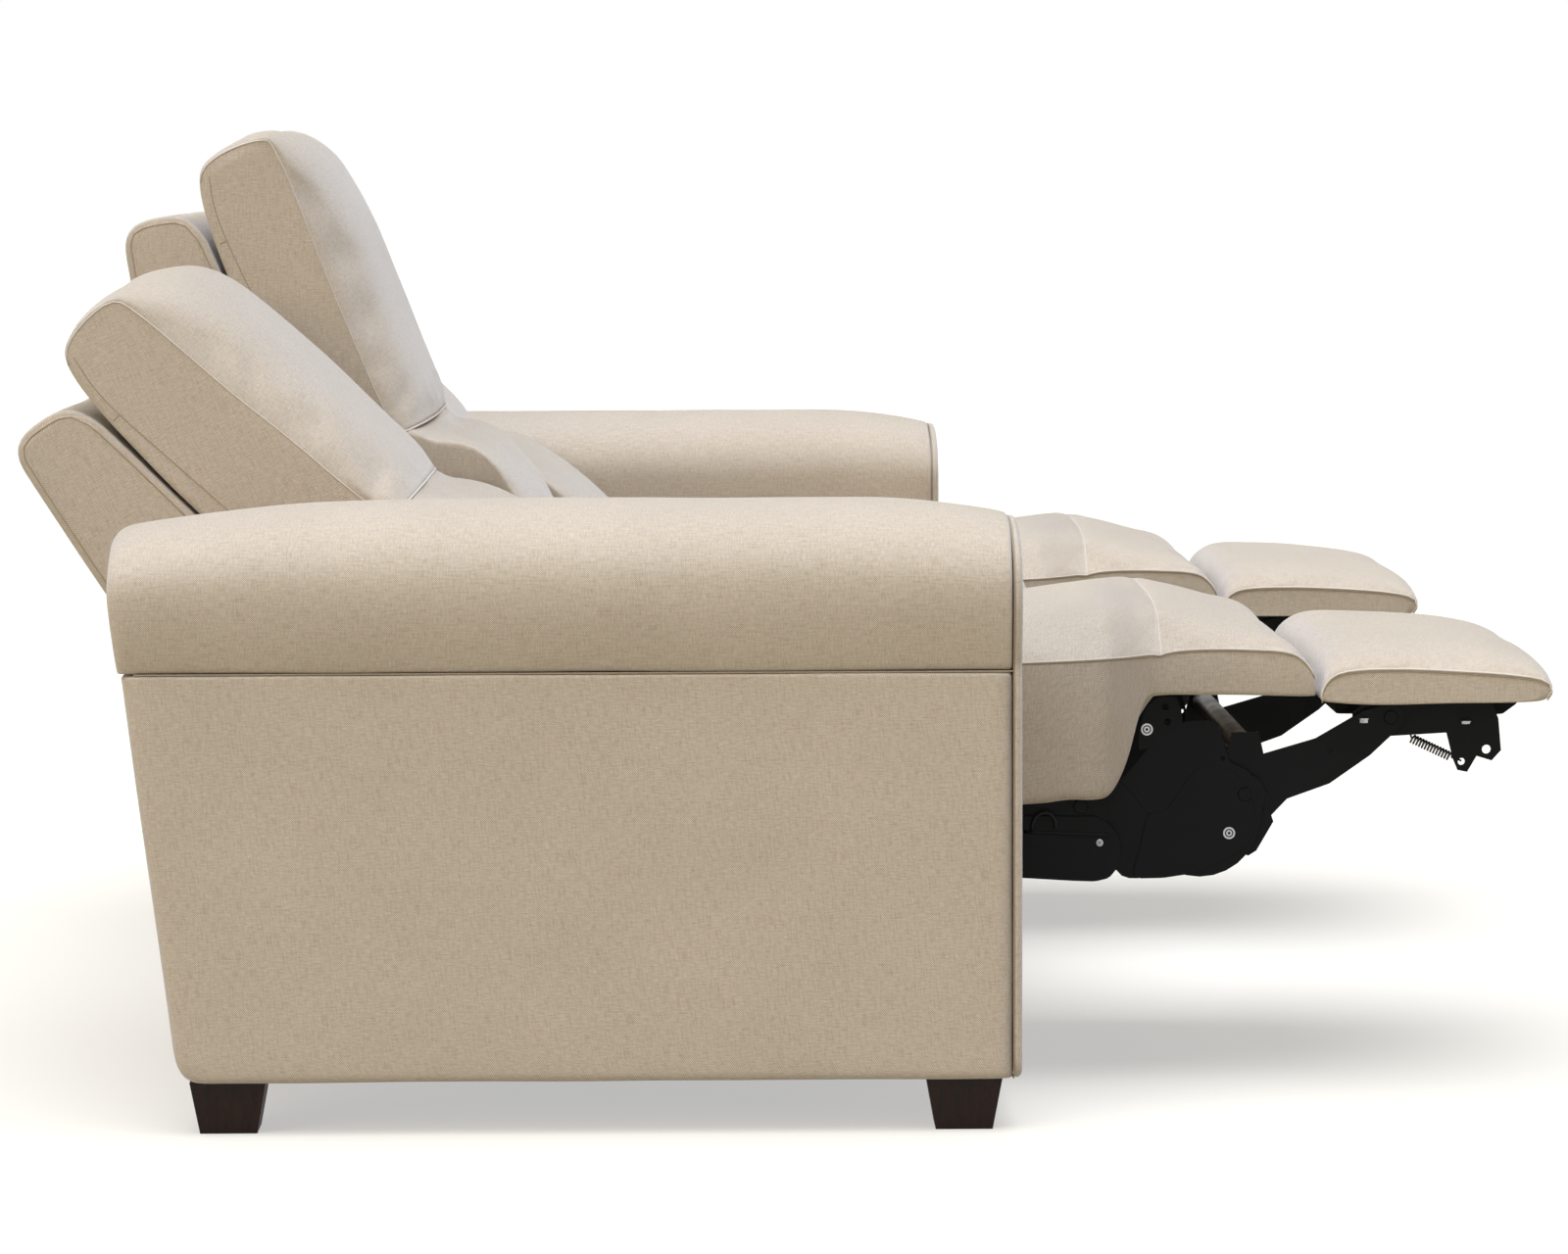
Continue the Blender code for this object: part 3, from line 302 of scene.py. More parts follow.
def ring_mesh(name, rings, caps=5, cap_axes=(0, 2)):
    """A closed mesh through rings of points, with panels of smaller rings over its two ends.

    Vertex r * n + i is point i of ring r. The weave's coordinates follow the rings and the panels.
    """
    rings = np.asarray(rings, float)
    rows, count = rings.shape[:2]
    around = np.concatenate([np.zeros((rows, 1)), np.cumsum(np.linalg.norm(
        np.roll(rings, -1, 1) - rings, axis=2), 1)], 1)
    along = np.concatenate([[0.0], np.cumsum(np.linalg.norm(rings[1:] - rings[:-1], axis=2).max(1))])
    mesh = bmesh.new()
    weave = mesh.loops.layers.uv.new("weave")
    vertices = [[mesh.verts.new(point * MM) for point in ring] for ring in rings]
    for r in range(rows - 1):
        for i in range(count):
            j = (i + 1) % count
            face = mesh.faces.new((vertices[r][i], vertices[r][j], vertices[r + 1][j], vertices[r + 1][i]))
            for loop, (row, place) in zip(face.loops, ((r, i), (r, i + 1), (r + 1, i + 1), (r + 1, i))):
                loop[weave].uv = (around[row, place] * MM, along[row] * MM)
    for ring in (0, rows - 1):
        middle = rings[ring].mean(0)
        outer = vertices[ring]
        for step in range(1, caps + 1):
            share = 1 - step / (caps + 1)
            inner = [mesh.verts.new((middle + (point - middle) * share) * MM) for point in rings[ring]]
            for i in range(count):
                j = (i + 1) % count
                mesh.faces.new((outer[i], outer[j], inner[j], inner[i]))
            outer = inner
        hub = mesh.verts.new(middle * MM)
        for i in range(count):
            mesh.faces.new((outer[i], outer[(i + 1) % count], hub))
    mesh.faces.ensure_lookup_table()
    for face in mesh.faces[(rows - 1) * count:]:
        for loop in face.loops:
            loop[weave].uv = (loop.vert.co[cap_axes[0]], loop.vert.co[cap_axes[1]])
    bmesh.ops.recalc_face_normals(mesh, faces=mesh.faces)
    return finish_mesh(name, mesh, FABRIC)


def finish_mesh(name, mesh, material, smooth=180.0):
    """The object of a bmesh in metres, with its material and smooth shading."""
    data = bpy.data.meshes.new(name)
    mesh.to_mesh(data)
    mesh.free()
    made = bpy.data.objects.new(name, data)
    bpy.context.collection.objects.link(made)
    data.materials.append(material)
    data.shade_smooth()
    if smooth < 180:
        data.set_sharp_from_angle(angle=math.radians(smooth))
    return made


def points_of(piece):
    """The vertices of a piece in millimetres."""
    found = np.empty(len(piece.data.vertices) * 3)
    piece.data.vertices.foreach_get("co", found)
    return found.reshape(-1, 3) / MM


def set_points(piece, points):
    """Move the vertices of a piece to places in millimetres."""
    piece.data.vertices.foreach_set("co", (np.asarray(points) * MM).ravel())
    piece.data.update()


def normals_of(piece):
    """The vertex normals of a piece."""
    found = np.empty(len(piece.data.vertices) * 3)
    piece.data.vertex_normals.foreach_get("vector", found)
    return found.reshape(-1, 3)


def ripple(piece, depth, length, seed, keep=None, rings=None):
    """Give a padded surface the slight unevenness of its filling, apart from the points to keep.

    With the number of vertices in its rings, the end faces that come after them stay flat.
    """
    points = points_of(piece)
    moved = np.array([noise.noise(Vector(point / length) + Vector((seed, 0, 0))) for point in points])
    if keep is not None:
        moved = moved * (1 - keep)
    moved[rings or len(moved):] = 0
    set_points(piece, points + normals_of(piece) * (moved * depth)[:, None])


def puff(piece, pins, pressure, grow, cap, frames=20, rings=None):
    """Blow the cover up from inside, with pinned seams, and keep each point within cap of where it was.

    With the number of vertices in its rings, the end faces that come after them are pinned too.
    """
    scene = bpy.context.scene
    rest = points_of(piece)
    pins = [int(i) for i in pins] + list(range(rings or len(rest), len(rest)))
    group = piece.vertex_groups.new(name="pins")
    group.add(pins, 1.0, "REPLACE")
    cloth = piece.modifiers.new("cloth", "CLOTH")
    cloth.settings.quality = 5
    cloth.settings.tension_stiffness = 30
    cloth.settings.compression_stiffness = 30
    cloth.settings.shear_stiffness = 10
    cloth.settings.bending_stiffness = 2.0
    cloth.settings.vertex_group_mass = "pins"
    cloth.settings.use_pressure = True
    cloth.settings.uniform_pressure_force = pressure
    cloth.settings.shrink_min = -grow
    cloth.settings.effector_weights.gravity = 0.0
    cloth.collision_settings.use_collision = False
    cloth.point_cache.frame_start = 1
    cloth.point_cache.frame_end = frames
    for step in range(1, frames + 1):
        scene.frame_set(step)
    graph = bpy.context.evaluated_depsgraph_get()
    swollen = piece.evaluated_get(graph).to_mesh()
    found = np.empty(len(swollen.vertices) * 3)
    swollen.vertices.foreach_get("co", found)
    move = found.reshape(-1, 3) / MM - rest
    length = np.linalg.norm(move, axis=1, keepdims=True)
    move *= cap * np.tanh(length / cap) / np.maximum(length, 1e-9)
    piece.evaluated_get(graph).to_mesh_clear()
    piece.modifiers.remove(cloth)
    piece.vertex_groups.remove(group)
    scene.frame_set(1)
    set_points(piece, rest + move)


def subdivide(piece, creases=()):
    """One level of subdivision, with the seams between given pairs of vertices kept crisp."""
    if creases:
        wanted = {tuple(sorted(pair)) for pair in creases}
        layer = piece.data.attributes.new("crease_edge", "FLOAT", "EDGE")
        for edge in piece.data.edges:
            if tuple(sorted(edge.vertices)) in wanted:
                layer.data[edge.index].value = 0.7
    change = piece.modifiers.new("subdivision", "SUBSURF")
    change.levels = 1
    change.render_levels = 1


def shown(piece):
    """Where a piece's own vertices lie after its modifiers, in millimetres."""
    graph = bpy.context.evaluated_depsgraph_get()
    mesh = piece.evaluated_get(graph).to_mesh()
    found = np.empty(len(mesh.vertices) * 3)
    mesh.vertices.foreach_get("co", found)
    piece.evaluated_get(graph).to_mesh_clear()
    return found.reshape(-1, 3)[:len(piece.data.vertices)] / MM


def on_side(piece, outline, middle, out):
    """Side-view points laid onto the face of a piece that looks out along Y from its middle."""
    graph = bpy.context.evaluated_depsgraph_get()
    tree = BVHTree.FromObject(piece, graph)
    start, way = (middle + out * 400.0) * MM, Vector((0.0, -out, 0.0))
    laid = []
    for x, z in outline:
        hit = tree.ray_cast(Vector((x * MM, start, z * MM)), way)[0]
        if hit is not None:
            laid.append(np.array(hit) / MM)
    return laid


def shrunk(outline, distance):
    """A closed outline moved inward by a distance."""
    outline = np.asarray(outline, float)
    ahead = np.roll(outline, -1, 0) - outline
    behind = outline - np.roll(outline, 1, 0)
    turn = np.sign(np.sum(outline[:, 0] * np.roll(outline[:, 1], -1) - np.roll(outline[:, 0], -1) * outline[:, 1]))
    sides = [np.stack([-v[:, 1], v[:, 0]], 1) / np.maximum(np.linalg.norm(v, axis=1, keepdims=True), 1e-9) * turn
             for v in (ahead, behind)]
    normal = sides[0] + sides[1]
    length = np.maximum(np.linalg.norm(normal, axis=1, keepdims=True), 1.2)
    return outline + normal / length * distance * 2 / length


def tube(name, path, radius, material, sides=8, closed=False):
    """A round tube mesh along a path in millimetres."""
    path = [Vector(point) for point in path]
    count = len(path)
    mesh = bmesh.new()
    rings = []
    normal = None
    for i, point in enumerate(path):
        before = path[i - 1] if i or closed else point
        after = path[(i + 1) % count] if i + 1 < count or closed else point
        along = (after - before).normalized()
        if normal is None:
            normal = along.orthogonal().normalized()
        normal = (normal - along * normal.dot(along)).normalized()
        side = along.cross(normal)
        turns = [2 * math.pi * k / sides for k in range(sides)]
        rings.append([mesh.verts.new((point + radius * (math.cos(t) * normal + math.sin(t) * side)) * MM)
                      for t in turns])
    pairs = list(zip(rings, rings[1:])) + ([(rings[-1], rings[0])] if closed else [])
    for low, high in pairs:
        for k in range(sides):
            m = (k + 1) % sides
            mesh.faces.new((low[k], low[m], high[m], high[k]))
    if not closed:
        mesh.faces.new(rings[0])
        mesh.faces.new(rings[-1])
    bmesh.ops.recalc_face_normals(mesh, faces=mesh.faces)
    return finish_mesh(name, mesh, material)


def plate(name, outline, low, high, material, bevel=0.6, holes=()):
    """A flat plate: a side-view outline with round holes between two places along Y, its edges softened."""
    loops = [outline] + [[(x + radius * math.cos(math.pi * k / 10), z + radius * math.sin(math.pi * k / 10))
                          for k in range(20)] for x, z, radius in holes]
    mesh = bmesh.new()
    edges = []
    for loop in loops:
        corners = [mesh.verts.new((x * MM, low * MM, z * MM)) for x, z in loop]
        edges += [mesh.edges.new((corners[i - 1], corners[i])) for i in range(len(corners))]
    bmesh.ops.triangle_fill(mesh, use_beauty=True, edges=edges)
    grown = bmesh.ops.extrude_face_region(mesh, geom=mesh.faces[:])
    lift = Vector((0.0, (high - low) * MM, 0.0))
    bmesh.ops.translate(mesh, vec=lift, verts=[v for v in grown["geom"] if isinstance(v, bmesh.types.BMVert)])
    bmesh.ops.recalc_face_normals(mesh, faces=mesh.faces)
    made = finish_mesh(name, mesh, material, 30.0)
    change = made.modifiers.new("bevel", "BEVEL")
    change.width = bevel * MM
    change.segments = 2
    change.limit_method = "ANGLE"
    return made


def turned(name, point, out, profile, material, sides=24, dark=()):
    """A turned piece on an axis along Y: (distance out from the point, radius) steps, as on a rivet.

    The bands that start at the steps in dark are black.
    """
    mesh = bmesh.new()
    rings = []
    for reach, radius in profile:
        rings.append([mesh.verts.new(((point[0] + radius * math.cos(2 * math.pi * k / sides)) * MM,
                                      (point[1] + out * reach) * MM,
                                      (point[2] + radius * math.sin(2 * math.pi * k / sides)) * MM))
                      for k in range(sides)])
    for step, (low, high) in enumerate(zip(rings, rings[1:])):
        for k in range(sides):
            m = (k + 1) % sides
            mesh.faces.new((low[k], low[m], high[m], high[k])).material_index = int(step in dark)
    mesh.faces.new(rings[0])
    mesh.faces.new(rings[-1]).material_index = int(bool(dark))
    bmesh.ops.recalc_face_normals(mesh, faces=mesh.faces)
    made = finish_mesh(name, mesh, material, 40.0)
    made.data.materials.append(STEEL)
    return made


def dress(piece, body, slot, *nodes):
    """Ride a finished piece on its body and let it stand for CAD nodes, which it hides; the slot is not used."""
    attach(piece, body)
    if nodes:
        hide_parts(*nodes)
    return piece


def seam(name, path, body, radius=SEAM_RADIUS, closed=False):
    """A sewn seam along a path, riding on a body: a thread-coloured tube darkened with painted shade of its fold."""
    return dress(tube(name, path, radius, THREAD_AND_SEAM_SHADE, 6, closed), body, "fabric")


# Places of the backs

def lean(forward, up):
    """The (x, z) point of the upright back that lies so far forward and up along its lean."""
    turn = math.radians(BACK_LEAN)
    return (forward * math.cos(turn) - up * math.sin(turn),
            forward * math.sin(turn) + up * math.cos(turn))


def lean_line(*knots):
    """Points of the upright back's middle plane, from (forward, up) knots."""
    return np.array([(x, 0.0, z) for x, z in (lean(*knot) for knot in knots)])


def open_back(points):
    """Upright back points, as on the middle seat, moved to where an open end seat has them."""
    turn = math.radians(RECLINE_ANGLE)
    x = points[..., 0] + TRAVEL - RECLINE_PIVOT[0]
    z = points[..., 2] - RECLINE_PIVOT[1]
    moved = points.copy()
    moved[..., 0] = RECLINE_PIVOT[0] + x * math.cos(turn) - z * math.sin(turn)
    moved[..., 2] = RECLINE_PIVOT[1] + x * math.sin(turn) + z * math.cos(turn)
    return moved


# Arms

def arm_crest(x):
    """Height of the arm roll's crest."""
    front_drop = 18 * max(0.0, (x - 60) / (ARM_FRONT - 60)) ** 2
    rear_drop = 27 * max(0.0, (-380 - x) / (-380 - ARM_REAR_TOP)) ** 2
    return ARM_TOP + 1.2 - front_drop - rear_drop


def roll_outline(crest, inset=0.0):
    """Front-view outline of the left arm's roll, from its outer seam over to its inner seam."""
    spring = ARM_SEAM + 74
    tuck = 17.0
    middle = (ARM_INNER + ARM_OUTER) / 2
    half = (ARM_OUTER - ARM_INNER) / 2 - inset
    points = []
    for i in range(9):
        fall = 1 - i / 9
        points.append((middle + half - tuck * fall ** 1.8, spring - (spring - ARM_SEAM) * fall))
    for i in range(33):
        turn = math.pi * i / 32
        points.append((middle + half * math.cos(turn), spring + (crest - inset - spring) * math.sin(turn) ** 0.82))
    for i in range(1, 10):
        points.append((middle - half, spring - (spring - ARM_SEAM) * i / 9))
    for i in range(1, 18):
        points.append((middle - half + (2 * half - tuck) * i / 18, ARM_SEAM + 0.4))
    return points


def mirrored(points, sign):
    """Points of the left arm, turned to the right arm where sign is negative."""
    points = np.asarray(points, float).copy()
    points[..., 1] *= sign
    return points


def make_roll(side, sign):
    """The padded roll of an arm, rounded at its rear end."""
    rings = []
    stations = [ARM_REAR_TOP + s for s in (0, 2, 6, 12, 22)]
    stations += list(np.linspace(ARM_REAR_TOP + 45, FACING_BACK - 14, 34)) + [FACING_BACK - 5, FACING_BACK - 0.6]
    for i, x in enumerate(stations):
        inset = (11.0, 6.5, 2.8, 0.8, 0.0)[i] if i < 5 else (0.0 if x < FACING_BACK - 8 else 1.2)
        ring = []
        for y, z in roll_outline(arm_crest(x), inset):
            back = (ARM_REAR_SEAM - ARM_REAR_TOP) * max(0.0, 1 - (z - ARM_SEAM) / 80) * max(0.0, 1 - i / 8)
            ring.append((x + back, y, z))
        rings.append(ring)
    roll = ring_mesh(f"{side}_arm_roll_cover", mirrored(rings, sign), 6, (1, 2))
    ripple(roll, 1.6, 95.0, 3.0 + sign)
    points = points_of(roll)
    points[:, 1] = sign * np.maximum(sign * points[:, 1], ARM_INNER + 0.3)
    set_points(roll, points)
    subdivide(roll)
    dress(roll, "base", "fabric", f"{side}_arm_roll")
    for name, i in (("outer", 0), ("inner", 50)):
        path = [mirrored(ring[i], sign) + (0, 0, -0.3) for ring in rings[4:]]
        seam(f"{side}_arm_{name}_seam", path, "base", 1.0)


def panel_rear(z):
    """The rear edge of an arm's side panel, which leans back as it rises."""
    low, high = 80.0, ARM_SEAM
    low_x = limits("left_arm_panel", 0)[0] + 49.0
    if z < low:
        return low_x + 16 * (1 - (z - ARM_BOTTOM) / (low - ARM_BOTTOM)) ** 2
    return low_x + (ARM_REAR_SEAM - low_x) * (z - low) / (high - low)


def make_side_panel(side, sign):
    """The flat padded panel under an arm's roll, on both faces of the arm."""
    inner, outer = ARM_INNER + 1, ARM_PANEL_OUTER
    rings = []
    edge = 5.0
    levels = [ARM_BOTTOM + s for s in (0, 1.5, 5)] + list(np.linspace(ARM_BOTTOM + 16, ARM_SEAM - 12, 26))
    levels += [ARM_SEAM - 4, ARM_SEAM - 0.5]
    for z in levels:
        inset = edge * (1 - min(1.0, (z - ARM_BOTTOM) / edge)) ** 1.5
        rear, front = panel_rear(z) + inset, FACING_BACK - 0.6
        low, high = inner + inset, outer - inset
        ring = []
        for i in range(48):
            ring.append((rear + edge + (front - rear - edge) * i / 47, high, z))
        for i in range(1, 12):
            ring.append((front, high + (low - high) * i / 12, z))
        for i in range(48):
            ring.append((front + (rear + edge - front) * i / 47, low, z))
        for i in range(1, 12):
            bow = edge * math.sin(math.pi * i / 12) ** 0.5
            ring.append((rear + edge - bow, low + (high - low) * i / 12, z))
        rings.append(ring)
    panel = ring_mesh(f"{side}_arm_panel_cover", mirrored(rings, sign), 3, (0, 1))
    ripple(panel, 1.0, 120.0, 9.0 + sign)
    subdivide(panel)
    dress(panel, "base", "fabric", f"{side}_arm_panel")


def make_facing(side, sign):
    """The front panel of an arm with its rolled edge and seam."""
    inner, outer = ARM_INNER + 1, ARM_PANEL_OUTER
    top = roll_outline(arm_crest(ARM_FRONT) + 0.5, 2.0)[:50]
    corner = 9.0
    side_out = [(outer, ARM_BOTTOM + corner + (ARM_SEAM - ARM_BOTTOM - corner) * i / 24) for i in range(24)]
    side_in = [(inner + 2, ARM_SEAM - (ARM_SEAM - ARM_BOTTOM - corner) * i / 24) for i in range(1, 25)]
    foot = [(inner + 2 + corner + (outer - inner - 2 - 2 * corner) * i / 14, ARM_BOTTOM) for i in range(15)]
    outline = side_out + top + side_in + foot
    rings = []
    for x, inset in ((FACING_BACK, 0.6), (FACING_BACK + 2, 0.0), (FACING_BACK + 5, 0.0), (ARM_FRONT - 2.5, 1.6),
                     (ARM_FRONT - 0.5, 4.5), (ARM_FRONT, 9.0)):
        rings.append([(x, y, z) for y, z in shrunk(outline, inset)])
    facing = ring_mesh(f"{side}_arm_facing_cover", mirrored(rings, sign), 6, (1, 2))
    subdivide(facing)
    dress(facing, "base", "fabric", f"{side}_arm_facing")
    path = [mirrored(point, sign) for point in rings[0]]
    seam(f"{side}_arm_facing_seam", path, "base", 0.8, True)


# Seats

def line(x, *knots):
    """The height at x on the smooth curve through (x, height) knots."""
    xs = [k[0] for k in knots]
    i = int(np.clip(np.searchsorted(xs, x) - 1, 0, len(xs) - 2))
    span = xs[i + 1] - xs[i]
    t = min(max((x - xs[i]) / span, 0.0), 1.0)

    def slope(k):
        if k in (0, len(xs) - 1):
            a, b = (0, 1) if k == 0 else (k - 1, k)
        else:
            a, b = k - 1, k + 1
        return (knots[b][1] - knots[a][1]) / (xs[b] - xs[a])

    return ((2 * t ** 3 - 3 * t ** 2 + 1) * knots[i][1] + (t ** 3 - 2 * t ** 2 + t) * slope(i) * span
            + (3 * t ** 2 - 2 * t ** 3) * knots[i + 1][1] + (t ** 3 - t ** 2) * slope(i + 1) * span)


CREST_SEAM = 393.0
CHAISE_REAR = -50.0
CHAISE_FRONT = 558.0


def chaise_top(x):
    """Height of the seat's crown along its middle, over the crest and down to the footrest."""
    return line(x, (-50, 430), (-44, 462), (-20, 476), (50, 482), (150, 487), (250, 496), (330, 507), (388, 513),
                (430, 504), (475, 490), (520, 480), (540, 467), (552, 450), (558, 436))


def chaise_welt(x):
    """Height of the seam along the seat's side."""
    return line(x, (-50, 420), (-40, 444), (0, 450), (150, 452), (249, 455), (357, 460), (429, 467.7), (512, 466),
                (535, 462), (548, 452), (555, 441), (558, 431))


def chaise_bottom(x):
    """Lower edge of the seat's side, clear of the turning back, with the notch behind the links."""
    return line(x, (-50, 408), (-35, 396.5), (-20, 382), (-8, 370), (0, 366.5), (20, 366), (26, 340), (32, 308), (60, 302), (200, 303.5), (250, 305), (300, 309.5),
                (330, 311), (340, 315), (350, 331), (360, 358), (368, 392), (374, 412), (386, 420), (440, 420.5),
                (500, 419.5), (545, 418.5), (558, 419))


def chaise_floor(x):
    """Underside of the padding between the two sides."""
    return line(x, (-50, 409), (-35, 397.5), (-20, 383), (-8, 371), (2, 367), (300, 367), (355, 367), (372, 395), (392, 421), (440, 424), (545, 423), (558, 421))


def chaise_ring(x):
    """Front-view ring of the seat at x, from its middle out over one side, under and back."""
    top, welt, bottom, floor = chaise_top(x), chaise_welt(x), chaise_bottom(x), chaise_floor(x)
    half = SEAT_HALF - 1.5
    wall = 13.0
    crown = []
    for i in range(25):
        y = half * math.sin(math.pi / 2 * i / 24) ** 0.85
        crown.append((y, welt + (top - welt) * (1 - (y / half) ** 3.4) ** 0.62))
    crown[-1] = (half, welt)
    edge = []
    hang = min(1.0, max(0.0, (384 - x) / 14))
    wave = hang * 1.3 * math.sin(x / 11.0) * math.sin(x / 23.0 + 1.0)
    bottom += wave
    for i in range(1, 13):
        share = i / 12
        fall = min(1.0, (welt - bottom) * share / 70)
        out = 1.0 * math.sin(math.pi * share) * (1 - hang) + 2.9 * hang * fall * (2 - fall)
        edge.append((half - 0.3 + out, welt + (bottom - welt) * share))
    under = [(half - 4, bottom - 1.5), (half - wall + 3, bottom - 1), (half - wall, bottom + 2)]
    under += [(half - wall - 1, (bottom + floor) / 2 + 1)]
    under += [((half - wall - 2) * (1 - i / 12), floor) for i in range(13)]
    outer = crown + edge + under
    return [(x, y, z) for y, z in outer] + [(x, -y, z) for y, z in outer[-2:0:-1]]


WELT_INDEX = 24
RING_HALF = 54


def make_chaise_mesh(name, stations, ring_of):
    """A seat pad lofted through its rings, with its crown blown up."""
    rings = np.array([ring_of(x) for x in stations])
    pad = ring_mesh(name, rings, 2, (1, 2))
    rows, count = rings.shape[:2]
    places = np.arange(rows * count)
    column = places % count
    free = (column < WELT_INDEX) | (column > count - WELT_INDEX)
    pins = list(places[~free]) + list(range(rows * count, len(pad.data.vertices)))
    pins += list(range(count)) + list(range((rows - 1) * count, rows * count))
    puff(pad, pins, 1.5, 0.02, 5.0)
    return pad, rings


def chaise_creases(rows, count):
    """Pairs of vertices along the two side seams of a lofted seat."""
    return [(r * count + i, (r + 1) * count + i) for r in range(rows - 1) for i in (WELT_INDEX, count - WELT_INDEX)]


def make_chaises():
    """The end seats' long pads, with their welts and crest seam; nothing here bends them over the crest when the
    footrest folds away.
    """
    stations = [CHAISE_REAR, -48, -43, -35, -24, -12, 0, 12, 20, 23.5, 27, 31, 36, 46, 58]
    stations += list(np.arange(70, 330, 12)) + list(np.arange(333, 392, 5.3)) + [CREST_SEAM]
    stations += list(np.arange(399, 535, 9)) + [538, 544, 549, 553, 556, CHAISE_FRONT]
    pad, rings = make_chaise_mesh("right_chaise", stations, chaise_ring)
    rows, count = rings.shape[:2]
    points = points_of(pad)
    ring_of_point = np.minimum(np.arange(len(points)) // count, rows - 1)
    top = np.array([chaise_welt(x) for x in stations])[ring_of_point] - 4
    dent = 2.6 * np.exp(-((points[:, 0] - CREST_SEAM) / 5.0) ** 2) * (points[:, 2] > top)
    points[:, 2] -= dent
    set_points(pad, points)
    ripple(pad, 2.2, 85.0, 5.0, (points[:, 2] < top).astype(float) * 0.7)
    subdivide(pad, chaise_creases(rows, count))
    shape, surface = points_of(pad), shown(pad)
    for side, sign in SIDES:
        piece = pad if side == "right" else pad.copy()
        if side == "left":
            piece.data = pad.data.copy()
            piece.name = "left_chaise"
            bpy.context.collection.objects.link(piece)
        middle = sign * SEAT_PITCH
        set_points(piece, shape + (0, middle, 0))
        bend_over_crest(piece)
        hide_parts(f"{side}_seat_cushion", f"{side}_mid_pad")
        for place, column in (("outer", WELT_INDEX if sign > 0 else count - WELT_INDEX),
                              ("inner", count - WELT_INDEX if sign > 0 else WELT_INDEX)):
            out = 1 if column == WELT_INDEX else -1
            path = [surface[r * count + column] + (0, middle, 0.2) for r in range(2, rows - 1)]
            # Each welt's paler colour is a painted highlight on its raised edge.
            welt = tube(f"{side}_chaise_{place}_welt", path, 1.0, SEAM_WEAVE_AND_HIGHLIGHT, 6)
            bend_over_crest(welt)
            # Painted shadow: a thin thread-coloured tube just below each welt stands for the shade under its raised
            # edge.
            low = [point + (0, out * 0.2, -1.6) for point in path]
            shade = tube(f"{side}_chaise_{place}_stitch", low, 0.7, THREAD_AND_SEAM_SHADE, 6)
            bend_over_crest(shade)
        row = stations.index(CREST_SEAM)
        columns = list(range(count - WELT_INDEX, count)) + list(range(0, WELT_INDEX + 1))
        path = [surface[row * count + c] + (0, middle, 0.0) for c in columns]
        crest = tube(f"{side}_chaise_crest_seam", path, 0.6, SEAM_WEAVE_AND_HIGHLIGHT, 6)
        bend_over_crest(crest)


def bend_over_crest(piece):
    """Bake a piece's placing into its mesh; nothing here makes it follow the seat or the folding pad."""
    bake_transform(piece)


# Cushions that are boxed at both ends

def boxed_rings(side, crown, half, corners=(), length=13.0, power=3.2, fade=0.6, draw=4.0, across=30):
    """Rings of a cushion across Y, from its side outline to its fuller middle outline."""
    steps = steps_for(crown, length)
    low, full = dense(side, steps, corners), dense(crown, steps, corners)
    stations = np.sin(np.linspace(-math.pi / 2, math.pi / 2, across))
    stations = np.sign(stations) * np.abs(stations) ** 0.9
    count = len(low)
    rings = []
    for place in stations:
        swell = max(0.0, 1 - abs(place) ** power) ** fade
        pull = draw * np.sin(np.pi * np.arange(count) / (count - 1)) ** 2 * 0.4
        flat = low + (full - low) * swell
        rings.append(np.stack([flat[:, 0], place * (half - pull), flat[:, 1]], 1))
    return np.array(rings), steps


def first_index(steps, corner):
    """Where a point of the drawn outline comes in the dense one."""
    return sum(steps[:corner])


def boxed_creases(rows, count):
    """Pairs of vertices round the two end seams of a boxed cushion."""
    return [(r * count + i, r * count + (i + 1) % count) for r in (0, rows - 1) for i in range(count)]


def column_creases(rows, count, column):
    """Pairs of vertices along one line across a boxed cushion."""
    return [(r * count + column, (r + 1) * count + column) for r in range(rows - 1)]


def nearness(points, place, reach):
    """How near each point is to a line along Y, from 1 on it to 0 well beyond reach."""
    return np.exp(-(np.linalg.norm(points[:, [0, 2]] - np.array(place), axis=1) / reach) ** 2)


def within(points, half):
    """The points held between two places across the cushion."""
    points[:, 1] = np.clip(points[:, 1], -half, half)
    return points


def gather(points, normals, crease, reach, depth, seed):
    """Soft pleats that run out from the crease between two cushions, deeper towards its ends."""
    fold = np.array([noise.noise(Vector((y / 34.0, seed, 0.0))) + 0.6 * noise.noise(Vector((y / 13.0, seed, 4.0)))
                     for y in points[:, 1]])
    ends = 0.35 + 0.65 * (np.abs(points[:, 1]) / BACK_HALF) ** 2
    share = nearness(points, crease, reach) * (1 - nearness(points, crease, CREASE_CALM))
    return points + normals * (depth * fold * ends * share)[:, None]


CREASE_CALM = 22.0        # around the crease, where both cushions keep the same line
CREASE_UP = 785.5


